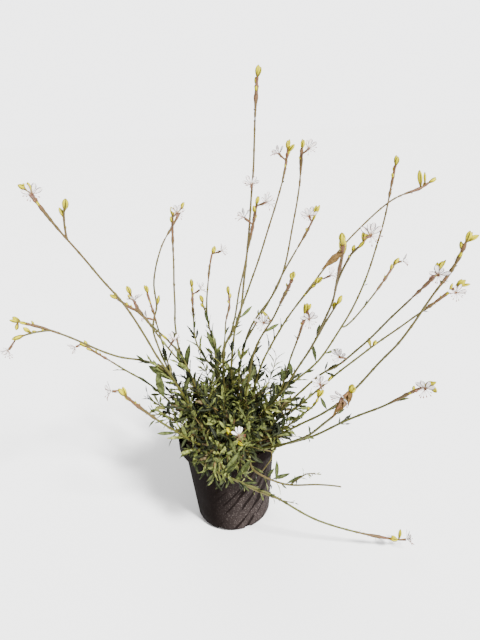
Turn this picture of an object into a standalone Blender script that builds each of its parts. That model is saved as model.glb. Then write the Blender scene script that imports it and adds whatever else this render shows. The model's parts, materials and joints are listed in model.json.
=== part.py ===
"""A potted gaura: nursery pot, soil, long flower stems, low leafy shoots and white blooms.

Metres, +Z up. The origin is the centre of the pot's flat underside, and the plant's front faces -Y.
Routes of stems and places of blooms are listed in millimetres and turned into metres where they are used.
"""
import math
import random

import bmesh
import bpy
from mathutils import Matrix, Vector
from mathutils.bvhtree import BVHTree

MM = 0.001
UP = Vector((0.0, 0.0, 1.0))
TO_VIEWER = Vector((0.0, -0.93, 0.36))
SEED = 7

# Pot
POT_HEIGHT = 0.155
RIM_RADIUS = 0.0825
COLLAR_DEPTH = 0.018
COLLAR_STEP = 0.009
BASE_RADIUS = 0.061
WALL = 0.0018
CORNER = 0.010
LIP = 0.001
POT_SIDES = 24
DRAIN_HOLES = 8
DRAIN_WIDTH = 0.012
DRAIN_HEIGHT = 0.008
DRAIN_DEPTH = 0.020
DRAIN_INSET = 0.006

# Soil
SOIL_LEVEL = 0.136
SOIL_CROWN = 0.001
SOIL_SLOPE_RADIUS = 0.064
SOIL_EDGE_DROP = 0.002
GAP = 0.0003
HOLE_DEPTH = 0.022
HOLE_RADIUS = 0.0029
HOLE_SIDES = 4
HOLE_CUT_ABOVE = 0.010
FOOT_GAP = 0.0004

# Stems
STEM_BASE_RADIUS = 0.0016
STEM_TIP_RADIUS = 0.0008
STEM_SPACING = 0.009
STEM_RING = 0.008
STEM_SPREAD = 0.052
BASE_LIMIT = 0.056
STRAIGHT = 0.003
SPREADING_ROUNDS = 80
POINT_EVERY = 0.090

# Leaves, buds and blooms
BLADE_THICK = 0.0007
STALK = ((-0.0009, 0.003), (0.0, -0.0004), (0.0009, 0.003))
HEART = 0.0022
CLEAR = 0.0004
GOLDEN_ANGLE = math.radians(137.5)
TURNS = (0, 30, -30, 60, -60, 95, -95, 140)
# Where leaves grow: from and to along a stem above the soil, their spacing, and the length of the longest.
SHOOT_TUFTS = (0.010, 0.300, 0.023, 0.052)
STEM_TUFTS = (0.010, 0.150, 0.065, 0.056)
STEM_LEAVES = (0.170, 0.280, 0.100, 0.030)
LEAF_WIDTH = 0.19
LEAF_FADE = 0.35
LEAF_TILT = (35, 65)
LARGE_LEAF_WIDTH = 0.23
BUD_LENGTH = 0.013
BUD_STEP = 0.012
BUD_RADIUS = 0.0017
TUBE_RADIUS = 0.0011
TUBE_DROP = 0.008
PETAL_LENGTH = 0.0140
PETAL_WIDTH = 0.0076
PETAL_FAN = (80, 27, -27, -80)
PETAL_TILT = 14
PETAL_CUP = 12.0
STAMENS = ((-14, -16), (14, -30))
STAMEN_LENGTH = 0.011
STAMEN_RADIUS = 0.0006
BLOOM_GAP = 0.0008

# Each flower stem's route above the soil, as points in millimetres that end at its tip.
FLOWER_STEMS = {
    "flower_stem_01": ((0, 15, 285), (30, 10, 355), (50, 15, 475), (65, 25, 605), (75, 30, 695)),
    "flower_stem_02": ((15, 40, 290), (45, 60, 375), (85, 70, 480), (110, 80, 555), (120, 80, 600)),
    "flower_stem_03": ((35, 45, 290), (95, 60, 385), (125, 75, 495), (140, 85, 600)),
    "flower_stem_04": ((45, -30, 295), (80, -70, 385), (100, -110, 450)),
    "flower_stem_05": (
        (60, 20, 260), (125, 30, 365), (215, 55, 460), (271, 66, 504), (323, 76, 521), (336, 80, 538),
    ),
    "flower_stem_06": ((85, 5, 215), (160, 20, 275), (235, 50, 395), (275, 65, 570)),
    "flower_stem_07": ((105, -50, 280), (140, -100, 380), (146, -165, 474), (138, -180, 509)),
    "flower_stem_08": ((125, 0, 203), (186, -20, 271), (243, -30, 320), (316, -45, 381), (341, -50, 409)),
    "flower_stem_09": (
        (133, -35, 255), (177, -52, 296), (235, -100, 387), (261, -140, 439), (261, -148, 465),
    ),
    "flower_stem_10": (
        (105, -60, 195), (160, -100, 255), (206, -130, 330), (227, -145, 366), (255, -155, 419),
        (274, -160, 456), (287, -165, 501),
    ),
    "flower_stem_11": ((110, -80, 185), (175, -130, 250), (250, -200, 335)),
    "flower_stem_12": ((90, -100, 195), (130, -180, 280), (140, -250, 365)),
    "flower_stem_13": (
        (-56, -62, 168), (-41, -90, 166), (-11, -112, 157), (59, -120, 122), (135, -120, 65),
        (250, -120, 22),
    ),
    "flower_stem_14": ((-55, -70, 190), (-95, -110, 255), (-135, -120, 310)),
    "flower_stem_15": ((-90, -10, 275), (-160, -25, 315), (-225, -40, 360), (-290, -50, 390)),
    "flower_stem_16": ((-120, 20, 235), (-180, 40, 270), (-235, 60, 305)),
    "flower_stem_17": ((-80, -30, 280), (-130, -60, 410), (-185, -85, 515), (-215, -100, 575)),
    "flower_stem_18": ((-58, 12, 272), (-84, 25, 312), (-108, 32, 334), (-129, 38, 364), (-142, 45, 400)),
    "flower_stem_19": (
        (-88, 38, 243), (-113, 64, 302), (-113, 76, 328), (-107, 86, 350), (-110, 104, 389),
        (-97, 125, 436), (-75, 140, 471), (-50, 150, 511),
    ),
    "flower_stem_20": ((-60, 20, 260), (-72, 32, 327), (-70, 40, 375), (-62, 48, 488), (-61, 50, 513)),
    "flower_stem_21": ((-15, 60, 245), (-17, 76, 281), (-26, 92, 325), (-20, 118, 381), (-5, 140, 434)),
}

# Side branches: the stem, the share of its length where the branch leaves, and the branch's own route.
BRANCHES = (
    ("flower_stem_01", 0.36, ((30, -10, 390), (65, -20, 535))),
    ("flower_stem_03", 0.36, ((67, 28, 350), (95, 8, 410), (135, 0, 480), (150, 0, 515))),
    ("flower_stem_05", 0.38, ((127, 14, 375), (155, 0, 405))),
    ("flower_stem_06", 0.50, ((209, 40, 321), (251, 62, 358), (295, 90, 405))),
    ("flower_stem_07", 0.30, ((98, -48, 296), (109, -70, 347), (116, -86, 378), (123, -98, 404))),
    ("flower_stem_07", 0.55, ((150, -108, 398), (156, -116, 418))),
    ("flower_stem_07", 0.80, ((156, -168, 485), (166, -172, 495), (170, -176, 513))),
    ("flower_stem_10", 0.16, ((124, -66, 226), (135, -68, 243), (142, -70, 262))),
    ("flower_stem_15", 0.86, ((-263, -58, 370), (-283, -60, 362))),
    ("flower_stem_17", 0.84, ((-174, -90, 537), (-165, -94, 550))),
    ("flower_stem_18", 0.46, ((-119, 14, 359), (-133, 4, 378), (-158, -8, 405))),
    ("flower_stem_19", 0.34, ((-113, 66, 363), (-119, 62, 385))),
    ("flower_stem_21", 0.36, ((-37, 72, 262), (-49, 86, 288), (-50, 102, 321), (-49, 130, 381))),
    ("flower_stem_21", 0.38, ((0, 100, 270), (5, 130, 301), (12, 150, 324), (10, 165, 354))),
    ("flower_stem_21", 0.62, ((-29, 84, 344), (-33, 78, 366))),
    ("leafy_shoot_1", 0.30, ((-34, -50, 186), (-50, -48, 220))),
    ("leafy_shoot_2", 0.30, ((4, -66, 170), (10, -78, 192))),
    ("leafy_shoot_3", 0.30, ((52, -56, 172), (82, -74, 190))),
    ("leafy_shoot_5", 0.30, ((35, 72, 178), (45, 108, 212))),
    ("leafy_shoot_6", 0.30, ((0, 72, 175), (5, 108, 205))),
    ("leafy_shoot_7", 0.30, ((-62, -22, 180), (-98, -30, 215))),
)

# The low leafy shoots of the mound: each one's route above the soil, in millimetres.
LEAFY_SHOOTS = {
    "leafy_shoot_1": ((-44, -66, 172), (-50, -90, 184)),
    "leafy_shoot_2": ((-12, -70, 172), (-20, -88, 180)),
    "leafy_shoot_3": ((28, -72, 172), (44, -90, 182)),
    "leafy_shoot_4": ((85, -25, 185), (125, -35, 225)),
    "leafy_shoot_5": ((65, 60, 190), (90, 90, 240)),
    "leafy_shoot_6": ((-25, 65, 195), (-45, 105, 245)),
    "leafy_shoot_7": ((-80, 5, 180), (-125, 15, 215)),
    "leafy_shoot_8": ((30, -82, 168), (37, -106, 156), (79, -122, 141), (126, -130, 143), (158, -134, 140)),
}

# Each open bloom: the stem it grows on and its centre in millimetres.
BLOOMS = (
    ("flower_stem_01", (57, 8, 545)),
    ("flower_stem_01", (73, -28, 525)),
    ("flower_stem_01", (45, -22, 505)),
    ("flower_stem_02", (103, 74, 580)),
    ("flower_stem_03", (145, 66, 585)),
    ("flower_stem_03", (134, -14, 500)),
    ("flower_stem_05", (165, -6, 412)),
    ("flower_stem_07", (171, -190, 507)),
    ("flower_stem_09", (257, -164, 452)),
    ("flower_stem_08", (324, -66, 395)),
    ("flower_stem_11", (235, -208, 332)),
    ("flower_stem_12", (131, -254, 354)),
    ("flower_stem_13", (261, -122, 24)),
    ("flower_stem_14", (-143, -124, 308)),
    ("flower_stem_15", (-293, -64, 351)),
    ("flower_stem_16", (-243, 56, 298)),
    ("flower_stem_17", (-199, -114, 562)),
    ("flower_stem_19", (-120, 56, 341)),
    ("flower_stem_20", (-52, 28, 509)),
    ("flower_stem_21", (-36, 118, 364)),
    ("flower_stem_21", (5, 128, 427)),
    ("flower_stem_06", (299, 84, 402)),
    ("flower_stem_07", (117, -118, 390)),
    ("leafy_shoot_2", (18, -90, 205)),
    ("flower_stem_18", (-75, 6, 319)),
    ("flower_stem_04", (62, -78, 373)),
    ("flower_stem_09", (167, -70, 311)),
    ("flower_stem_10", (137, -84, 277)),
    ("flower_stem_18", (-128, 20, 383)),
)

# Single large leaves: the stem, where the leaf leaves it, and the leaf's tip.
LEAVES = (
    ("flower_stem_01", (33, 12, 345), (49, 4, 366)),
    ("flower_stem_04", (64, -52, 343), (79, -62, 363)),
    ("flower_stem_06", (144, 14, 266), (143, 10, 294)),
    ("flower_stem_06", (159, 18, 276), (180, 10, 287)),
    ("flower_stem_06", (131, 12, 243), (142, 4, 255)),
    ("flower_stem_07", (100, -45, 273), (100, -52, 299)),
    ("flower_stem_07", (87, -42, 257), (90, -50, 288)),
    ("flower_stem_07", (132, -78, 348), (138, -86, 368)),
    ("flower_stem_07", (141, -172, 490), (124, -176, 474)),
    ("flower_stem_10", (146, -90, 239), (135, -94, 260)),
    ("flower_stem_12", (135, -190, 298), (144, -200, 307)),
    ("flower_stem_13", (-11, -112, 157), (18, -112, 186)),
    ("flower_stem_13", (-11, -112, 157), (-23, -117, 150)),
    ("flower_stem_13", (0, -115, 150), (-4, -120, 137)),
    ("flower_stem_13", (6, -118, 145), (33, -116, 178)),
    ("flower_stem_13", (17, -118, 141), (39, -124, 147)),
    ("flower_stem_14", (-68, -88, 213), (-96, -96, 222)),
    ("flower_stem_15", (-84, -5, 254), (-110, -14, 292)),
    ("flower_stem_15", (-105, -12, 284), (-100, -26, 239)),
    ("flower_stem_15", (-119, -20, 295), (-126, -26, 312)),
    ("flower_stem_16", (-123, 22, 235), (-136, 14, 257)),
    ("flower_stem_20", (-54, 18, 269), (-52, 12, 305)),
    ("flower_stem_20", (-74, 26, 309), (-75, 20, 330)),
    ("flower_stem_21", (-18, 72, 264), (-23, 64, 305)),
    ("flower_stem_21", (-25, 86, 311), (-27, 80, 339)),
    ("flower_stem_21", (-32, 70, 255), (-46, 62, 262)),
)

# Large side buds: the stem, where the bud leaves it, and the bud's tip.
BUDS = (
    ("flower_stem_05", (318, 74, 520), (313, 72, 545)),
    ("flower_stem_05", (325, 77, 521), (323, 76, 542)),
    ("flower_stem_07", (145, -170, 482), (143, -174, 503)),
    ("flower_stem_07", (146, -168, 481), (150, -176, 500)),
    ("flower_stem_07", (117, -88, 380), (117, -92, 401)),
    ("flower_stem_08", (223, -26, 302), (217, -30, 322)),
    ("flower_stem_08", (227, -26, 303), (229, -30, 316)),
    ("flower_stem_08", (160, -12, 240), (166, -20, 256)),
    ("flower_stem_08", (338, -50, 393), (349, -54, 401)),
    ("flower_stem_09", (263, -144, 445), (271, -148, 465)),
    ("flower_stem_10", (290, -163, 486), (296, -166, 497)),
    ("flower_stem_12", (139, -240, 351), (143, -246, 360)),
    ("flower_stem_15", (-279, -48, 385), (-284, -50, 374)),
    ("flower_stem_18", (-84, 24, 312), (-92, 20, 326)),
    ("flower_stem_19", (-105, 84, 351), (-99, 78, 370)),
    ("flower_stem_04", (70, -62, 369), (61, -66, 386)),
    ("leafy_shoot_2", (4, -76, 184), (-2, -80, 210)),
)


def clear_scene():
    for item in list(bpy.data.objects):
        bpy.data.objects.remove(item)


def new_collection(name):
    collection = bpy.data.collections.new(name)
    bpy.context.scene.collection.children.link(collection)
    return collection


def new_material(name, colour, roughness, metallic=0.0):
    material = bpy.data.materials.new(name)
    material.use_nodes = True
    shader = material.node_tree.nodes["Principled BSDF"]
    shader.inputs["Base Color"].default_value = (*colour, 1.0)
    shader.inputs["Roughness"].default_value = roughness
    shader.inputs["Metallic"].default_value = metallic
    return material


def add_object(name, mesh, collection, material=None):
    item = bpy.data.objects.new(name, mesh)
    collection.objects.link(item)
    if material:
        mesh.materials.clear()
        mesh.materials.append(material)
    return item


def evaluated_mesh(item):
    graph = bpy.context.evaluated_depsgraph_get()
    return bpy.data.meshes.new_from_object(item.evaluated_get(graph))


def metres(point):
    return Vector(point) * MM


def mesh_from(bm, name):
    mesh = bpy.data.meshes.new(name)
    bm.to_mesh(mesh)
    return mesh


def axes(origin, along, up):
    """A frame at origin whose Y runs along the piece and whose Z lies as near to up as it can."""
    y = along.normalized()
    x = y.cross(up)
    if x.length < 1e-4:
        x = y.orthogonal()
    x.normalize()
    z = x.cross(y)
    return Matrix.Translation(origin) @ Matrix((x, y, z)).transposed().to_4x4()


def profile_object(name, profile, sides, collection, material=None):
    """A turned solid: an open profile in the XZ plane, run round Z by a Screw modifier."""
    mesh = bpy.data.meshes.new(name)
    edges = [(i, i + 1) for i in range(len(profile) - 1)]
    mesh.from_pydata([(radius, 0.0, height) for radius, height in profile], edges, [])
    item = add_object(name, mesh, collection, material)
    screw = item.modifiers.new("turn", "SCREW")
    screw.steps = sides
    screw.render_steps = sides
    screw.use_merge_vertices = True
    screw.merge_threshold = 0.0001
    screw.use_smooth_shade = True
    return item


def body_radius(height):
    """The pot's outer radius below its collar."""
    top = RIM_RADIUS - COLLAR_STEP
    return BASE_RADIUS + (top - BASE_RADIUS) * height / (POT_HEIGHT - COLLAR_DEPTH)


def make_pot(parts, cutters):
    """The nursery pot: collar, tapering wall, round bottom corner and drain holes round its foot."""
    shoulder = POT_HEIGHT - COLLAR_DEPTH
    floor_radius = body_radius(CORNER) - CORNER
    corner = [
        (
            floor_radius + CORNER * math.cos(math.radians(angle)),
            CORNER - CORNER * math.sin(math.radians(angle)),
        )
        for angle in (0, 45, 90)
    ]
    outside = [
        (RIM_RADIUS - WALL / 2, POT_HEIGHT),
        (RIM_RADIUS, POT_HEIGHT - LIP),
        (RIM_RADIUS, shoulder),
        (body_radius(shoulder), shoulder - LIP),
        *corner,
        (0.0, 0.0),
    ]
    inside = [
        (0.0, WALL),
        (floor_radius, WALL),
        (body_radius(CORNER) - WALL, CORNER),
        (body_radius(shoulder) - WALL, shoulder - LIP),
        (RIM_RADIUS - WALL, shoulder + LIP),
        (RIM_RADIUS - WALL, POT_HEIGHT - LIP),
        (RIM_RADIUS - WALL / 2, POT_HEIGHT),
    ]
    plastic = new_material("black_plastic", (0.028, 0.022, 0.021), 0.55)
    pot = profile_object("pot", outside + inside, POT_SIDES, parts, plastic)
    drains = bmesh.new()
    for index in range(DRAIN_HOLES):
        turn = Matrix.Rotation(math.tau * (index + 0.5) / DRAIN_HOLES, 4, "Z")
        place = Matrix.Translation((body_radius(CORNER) - DRAIN_INSET, 0.0, 0.0))
        size = Matrix.Diagonal((DRAIN_DEPTH, DRAIN_WIDTH, DRAIN_HEIGHT * 2, 1.0))
        bmesh.ops.create_cube(drains, size=1.0, matrix=turn @ place @ size)
    cut(pot, mesh_from(drains, "drain_holes"), cutters)


def cut(item, mesh, cutters):
    """Cut a mesh out of an object with a Boolean modifier."""
    cutter = add_object(mesh.name, mesh, cutters)
    cutter.hide_render = True
    cutter.display_type = "WIRE"
    boolean = item.modifiers.new(mesh.name, "BOOLEAN")
    boolean.operation = "DIFFERENCE"
    boolean.object = cutter


def make_soil(parts, cutters, bases):
    """The soil plug, a little crowned, with a plain hole for each stem."""
    floor = WALL + GAP
    edge = SOIL_LEVEL - SOIL_EDGE_DROP
    profile = [
        (0.0, SOIL_LEVEL + SOIL_CROWN),
        (SOIL_SLOPE_RADIUS, SOIL_LEVEL),
        (body_radius(edge) - WALL - GAP, edge),
        (body_radius(CORNER) - WALL - GAP, CORNER),
        (body_radius(CORNER) - CORNER - GAP, floor),
        (0.0, floor),
    ]
    earth = new_material("potting_soil", (0.045, 0.028, 0.018), 0.95)
    soil = profile_object("soil", profile, POT_SIDES, parts, earth)
    holes = bmesh.new()
    depth = HOLE_DEPTH + HOLE_CUT_ABOVE
    for base in bases.values():
        centre = base + UP * (HOLE_CUT_ABOVE - depth / 2)
        bmesh.ops.create_cone(
            holes, cap_ends=True, segments=HOLE_SIDES, radius1=HOLE_RADIUS, radius2=HOLE_RADIUS,
            depth=depth, matrix=Matrix.Translation(centre),
        )
    cut(soil, mesh_from(holes, "stem_holes"), cutters)


def stem_bases(routes):
    """Where each stem stands in the soil: out towards its first point, pushed apart to keep clear."""
    places = {}
    for name, route in routes.items():
        out = Vector(route[0][:2]) * MM
        rise = route[-1][2] * MM - SOIL_LEVEL
        reach = Vector(route[-1][:2]).length * MM
        lean = reach / (reach + max(rise, 0.0))
        places[name] = out.normalized() * (STEM_RING + STEM_SPREAD * lean)
    names = list(places)
    for _ in range(SPREADING_ROUNDS):
        for index, name in enumerate(names):
            for other in names[index + 1:]:
                apart = places[other] - places[name]
                short = STEM_SPACING - apart.length
                if short > 0:
                    push = apart.normalized() * short * 0.5
                    places[name] -= push
                    places[other] += push
        for name in names:
            if places[name].length > BASE_LIMIT:
                places[name] = places[name].normalized() * BASE_LIMIT
    return {name: Vector((place.x, place.y, SOIL_LEVEL)) for name, place in places.items()}


def smooth_route(points):
    """A Catmull-Rom curve through the points, read off about every POINT_EVERY metres."""
    before = 3 * points[0] - 3 * points[1] + points[2]
    after = 3 * points[-1] - 3 * points[-2] + points[-3]
    chain = [before, *points, after]
    line = []
    for index in range(1, len(chain) - 2):
        a, b, c, d = chain[index - 1:index + 3]
        pieces = max(1, round((c - b).length / POINT_EVERY))
        for step in range(pieces):
            t = step / pieces
            line.append(
                0.5 * (2 * b + (c - a) * t + (2 * a - 5 * b + 4 * c - d) * t ** 2
                       + (3 * b - a - 3 * c + d) * t ** 3)
            )
    line.append(points[-1].copy())
    return line


def stem_line(base, route):
    """A stem's centre line: straight up out of its hole, then along its route."""
    top = base + UP * STRAIGHT
    foot = base - UP * (HOLE_DEPTH - FOOT_GAP)
    return [foot, *smooth_route([top] + [metres(point) for point in route])]


def length_of(line):
    return sum((b - a).length for a, b in zip(line, line[1:]))


def at_distance(line, left):
    """The point at a distance along the line, and the line's direction there."""
    for a, b in zip(line, line[1:]):
        length = (b - a).length
        if left <= length:
            return a.lerp(b, left / length), (b - a).normalized()
        left -= length
    return line[-1].copy(), (line[-1] - line[-2]).normalized()


def closed_mesh(curve):
    """The closed mesh of a curve, with its loose caps welded on."""
    item = bpy.data.objects.new(curve.name, curve)
    bpy.context.scene.collection.objects.link(item)
    mesh = evaluated_mesh(item)
    bpy.data.objects.remove(item)
    bpy.data.curves.remove(curve)
    bm = bmesh.new()
    bm.from_mesh(mesh)
    bpy.data.meshes.remove(mesh)
    bmesh.ops.remove_doubles(bm, verts=bm.verts, dist=0.00001)
    bmesh.ops.recalc_face_normals(bm, faces=bm.faces)
    return bm


def with_bud(line):
    """The line with its tip drawn out for a bud, and the radius at each of its points."""
    end = line[-1]
    out = (end - line[-2]).normalized()
    neck = end - out * BUD_LENGTH
    points = [*line[:-1], neck, neck + out * BUD_LENGTH * 0.4, end]
    count = len(line) - 1
    radii = [STEM_BASE_RADIUS + (STEM_TIP_RADIUS - STEM_BASE_RADIUS) * i / count for i in range(count + 1)]
    return points, [*radii, BUD_RADIUS, BUD_RADIUS * 0.25]


def tube(line, radii):
    """A slim stem along a line, with a radius for each of its points."""
    curve = bpy.data.curves.new("tube", "CURVE")
    curve.dimensions = "3D"
    curve.bevel_depth = 1.0
    curve.bevel_resolution = 0
    curve.use_fill_caps = True
    spline = curve.splines.new("POLY")
    spline.points.add(len(line) - 1)
    for spot, point, radius in zip(spline.points, line, radii):
        spot.co = (*point, 1.0)
        spot.radius = radius
    return closed_mesh(curve)


def lobe_points(angle, length, half_widths):
    """One lobe's outline, from its right foot round the tip to its left foot, at an angle from +Y."""
    stations = [(length * (i + 1) / (len(half_widths) + 1), half) for i, half in enumerate(half_widths)]
    right = [(half, along) for along, half in stations]
    left = [(-half, along) for along, half in reversed(stations)]
    turn = Matrix.Rotation(-angle, 2)
    return [turn @ Vector(point) for point in [*right, (0.0, length), *left]]


def sheet(lobes, foot, notch, lift, arch):
    """A thin sheet cut to its lobes, which are listed from the right, on the foot's outline points."""
    loop = [Vector(point) for point in foot]
    for index, (angle, length, half_widths) in enumerate(lobes):
        if index:
            between = (angle + lobes[index - 1][0]) / 2
            loop.append(Matrix.Rotation(-between, 2) @ Vector((0.0, notch)))
        loop += lobe_points(angle, length, half_widths)
    curve = bpy.data.curves.new("sheet", "CURVE")
    curve.dimensions = "2D"
    curve.fill_mode = "BOTH"
    curve.extrude = BLADE_THICK / 2
    spline = curve.splines.new("POLY")
    spline.points.add(len(loop) - 1)
    spline.use_cyclic_u = True
    for point, place in zip(spline.points, loop):
        point.co = (place.x, place.y, 0.0, 1.0)
    bm = closed_mesh(curve)
    for vert in bm.verts:
        away = vert.co.xy.length
        vert.co.z += lift * away - arch * away ** 2
    return bm


def leaf_tuft(length, rng):
    """A leaf with the two smaller leaves that grow in its axil."""
    half = length * LEAF_WIDTH / 2
    lobes = (
        (math.radians(rng.uniform(40, 60)), length * rng.uniform(0.6, 0.8), (half * 0.8,)),
        (0.0, length, (half, half * 0.75)),
        (math.radians(rng.uniform(-60, -40)), length * rng.uniform(0.6, 0.8), (half * 0.8,)),
    )
    return sheet(lobes, STALK, notch=length * 0.13, lift=0.25, arch=0.40 / length)


def lone_leaf(length, rng):
    """A small leaf from the upper part of a flower stem."""
    half = length * LEAF_WIDTH * rng.uniform(0.4, 0.5)
    return sheet(((0.0, length, (half,)),), STALK, notch=0.0, lift=0.2, arch=0.35 / length)


def large_leaf(length):
    """A broad leaf from a flower stem, widest past its middle."""
    half = length * LARGE_LEAF_WIDTH / 2
    return sheet(((0.0, length, (half * 0.7, half)),), STALK, notch=0.0, lift=0.1, arch=0.15 / length)


def corolla():
    """The four petals of a bloom in one cupped sheet."""
    half = PETAL_WIDTH / 2
    lobes = [(math.radians(fan), PETAL_LENGTH, (half * 0.5, half)) for fan in PETAL_FAN]
    return sheet(lobes, ((0.0, -HEART),), notch=HEART, lift=0.0, arch=-PETAL_CUP)


def bud(length):
    """A four-sided spindle along +Y, with its root a little behind the origin."""
    bm = bmesh.new()
    size = Matrix.Diagonal((BUD_RADIUS, length / 2, BUD_RADIUS, 1.0))
    turn = Matrix.Rotation(math.radians(90), 4, "X")
    centre = Matrix.Translation((0.0, length * 0.42, 0.0))
    bmesh.ops.create_uvsphere(bm, u_segments=4, v_segments=2, radius=1.0, matrix=centre @ size @ turn)
    return bm


def spike(start_radius, end_radius, length, sides):
    """A straight slim cone along +Y with its root at the origin."""
    bm = bmesh.new()
    stand = Matrix.Translation((0.0, length / 2, 0.0)) @ Matrix.Rotation(math.radians(-90), 4, "X")
    bmesh.ops.create_cone(
        bm, cap_ends=True, segments=sides, radius1=start_radius, radius2=end_radius,
        depth=length, matrix=stand,
    )
    return bm


class Registry:
    """Every piece that has its place, so that the next one can be kept clear of other nodes."""

    def __init__(self):
        self.pieces = []

    def add(self, node, bm):
        low, high = bounds(bm)
        self.pieces.append((node, low, high, BVHTree.FromBMesh(bm)))

    def is_clear(self, node, bm):
        fat = bm.copy()
        fat.normal_update()
        moves = [vert.normal * CLEAR for vert in fat.verts]
        for vert, move in zip(fat.verts, moves):
            vert.co += move
        low, high = bounds(fat)
        tree = BVHTree.FromBMesh(fat)
        fat.free()
        for other, other_low, other_high, other_tree in self.pieces:
            if other == node:
                continue
            if any(high[i] < other_low[i] or low[i] > other_high[i] for i in range(3)):
                continue
            if tree.overlap(other_tree):
                return False
        return True


def bounds(bm):
    low = [min(vert.co[i] for vert in bm.verts) for i in range(3)]
    high = [max(vert.co[i] for vert in bm.verts) for i in range(3)]
    return low, high


def register_holder(registry):
    """The pot's wall and the soil's top, which leaves and blooms are kept clear of."""
    guard = bmesh.new()
    reach = RIM_RADIUS + CLEAR
    wall_centre = Matrix.Translation((0.0, 0.0, POT_HEIGHT / 2))
    bmesh.ops.create_cone(
        guard, segments=POT_SIDES, radius1=BASE_RADIUS, radius2=reach, depth=POT_HEIGHT, matrix=wall_centre,
    )
    collar_centre = Matrix.Translation((0.0, 0.0, POT_HEIGHT - COLLAR_DEPTH / 2))
    bmesh.ops.create_cone(
        guard, segments=POT_SIDES, radius1=reach, radius2=reach, depth=COLLAR_DEPTH, matrix=collar_centre,
    )
    inside = RIM_RADIUS - WALL
    low = SOIL_LEVEL + SOIL_CROWN
    bmesh.ops.create_cone(
        guard, cap_ends=True, segments=POT_SIDES, radius1=inside, radius2=inside,
        depth=POT_HEIGHT - low, matrix=Matrix.Translation((0.0, 0.0, (POT_HEIGHT + low) / 2)),
    )
    registry.add("holder", guard)


def turned(along, angle, tilt):
    """A direction that leans away from `along` by `tilt`, at `angle` round it."""
    side = Matrix.Rotation(angle, 3, along) @ along.orthogonal().normalized()
    return along * math.cos(tilt) + side * math.sin(tilt)


def try_piece(registry, node, shape, origin, along, angle, tilt, up):
    """Place a piece, turning it round its stem in steps until it is clear, or leave it out."""
    for turn in TURNS:
        direction = turned(along, angle + math.radians(turn), tilt)
        bm = shape.copy()
        bmesh.ops.transform(bm, matrix=axes(origin, direction, up), verts=bm.verts)
        if registry.is_clear(node, bm):
            registry.add(node, bm)
            return bm
        bm.free()
    return None


def grow_leaves(registry, node, line, rng, rule, make):
    """Leaves up a stem by the golden angle, smaller towards the end of the span that they grow on."""
    first, last, spacing, size = rule
    last = min(last, length_of(line) - BUD_LENGTH * 2)
    grown = []
    count = max(0, round((last - first) / spacing))
    angle = rng.uniform(0, math.tau)
    for index in range(count):
        share = (index + rng.uniform(0.2, 0.8)) / count
        origin, along = at_distance(line, HOLE_DEPTH + first + (last - first) * share)
        leaf_length = size * (1.0 - LEAF_FADE * share) * rng.uniform(0.85, 1.15)
        tilt = math.radians(rng.uniform(*LEAF_TILT))
        angle += GOLDEN_ANGLE
        shape = make(leaf_length, rng)
        piece = try_piece(registry, node, shape, origin, along, angle, tilt, along)
        if piece:
            grown.append(piece)
    return grown


def grow_buds(registry, node, line, rng, count):
    """Side buds that stand close to the stem below its tip."""
    grown = []
    for index in range(count):
        origin, along = at_distance(line, length_of(line) - BUD_LENGTH - BUD_STEP * index)
        tilt = math.radians(24 + 8 * index)
        shape = bud(BUD_LENGTH * (0.9 - 0.1 * index))
        piece = try_piece(registry, node, shape, origin, along, rng.uniform(0, math.tau), tilt, UP)
        if piece:
            grown.append(piece)
    return grown


def nearest_point(lines, target):
    """The point on any of the lines that lies nearest to the target."""
    best = None
    for line in lines:
        for a, b in zip(line, line[1:]):
            run = b - a
            share = min(max((target - a).dot(run) / run.length_squared, 0.0), 1.0)
            point = a + run * share
            if best is None or (point - target).length < (best - target).length:
                best = point
    return best


def bloom_pieces(centre, facing):
    """Four petals fanned over the upper half, and slim stamens that hang forward."""
    frame = axes(centre + facing * (BLADE_THICK / 2 + BLOOM_GAP), facing, UP)
    petals = corolla()
    lean = Matrix.Rotation(math.radians(90 + PETAL_TILT), 4, "X")
    bmesh.ops.transform(petals, matrix=frame @ lean, verts=petals.verts)
    pieces = [petals]
    for swing, drop in STAMENS:
        tilt = Matrix.Rotation(math.radians(drop), 4, "X")
        turn = Matrix.Rotation(math.radians(swing), 4, "Z")
        bm = spike(STAMEN_RADIUS, 0.0, STAMEN_LENGTH, 3)
        bmesh.ops.transform(bm, matrix=frame @ turn @ tilt, verts=bm.verts)
        pieces.append(bm)
    return pieces


def is_closed(mesh):
    """Whether a mesh is one closed surface with its faces facing alike."""
    bm = bmesh.new()
    bm.from_mesh(mesh)
    closed = all(edge.is_contiguous for edge in bm.edges)
    bm.free()
    return closed


def fuse(name, pieces, collection, material):
    """Join a node's pieces with one Boolean union, apply it and remove the operands."""
    body, *repeats = pieces
    item = add_object(name, mesh_from(body, name), collection)
    bag = new_collection(name + "_repeats")
    for piece in repeats:
        repeat = bpy.data.objects.new(name + "_repeat", mesh_from(piece, name + "_repeat"))
        bag.objects.link(repeat)
    union = item.modifiers.new("join", "BOOLEAN")
    union.operation = "UNION"
    union.operand_type = "COLLECTION"
    union.collection = bag
    mesh = evaluated_mesh(item)
    if not is_closed(mesh):
        union.solver = "MANIFOLD"
        mesh = evaluated_mesh(item)
    item.modifiers.clear()
    item.data = mesh
    mesh.name = name
    mesh.materials.clear()
    mesh.materials.append(material)
    for repeat in list(bag.objects):
        bpy.data.objects.remove(repeat)
    bpy.data.collections.remove(bag)


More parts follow.
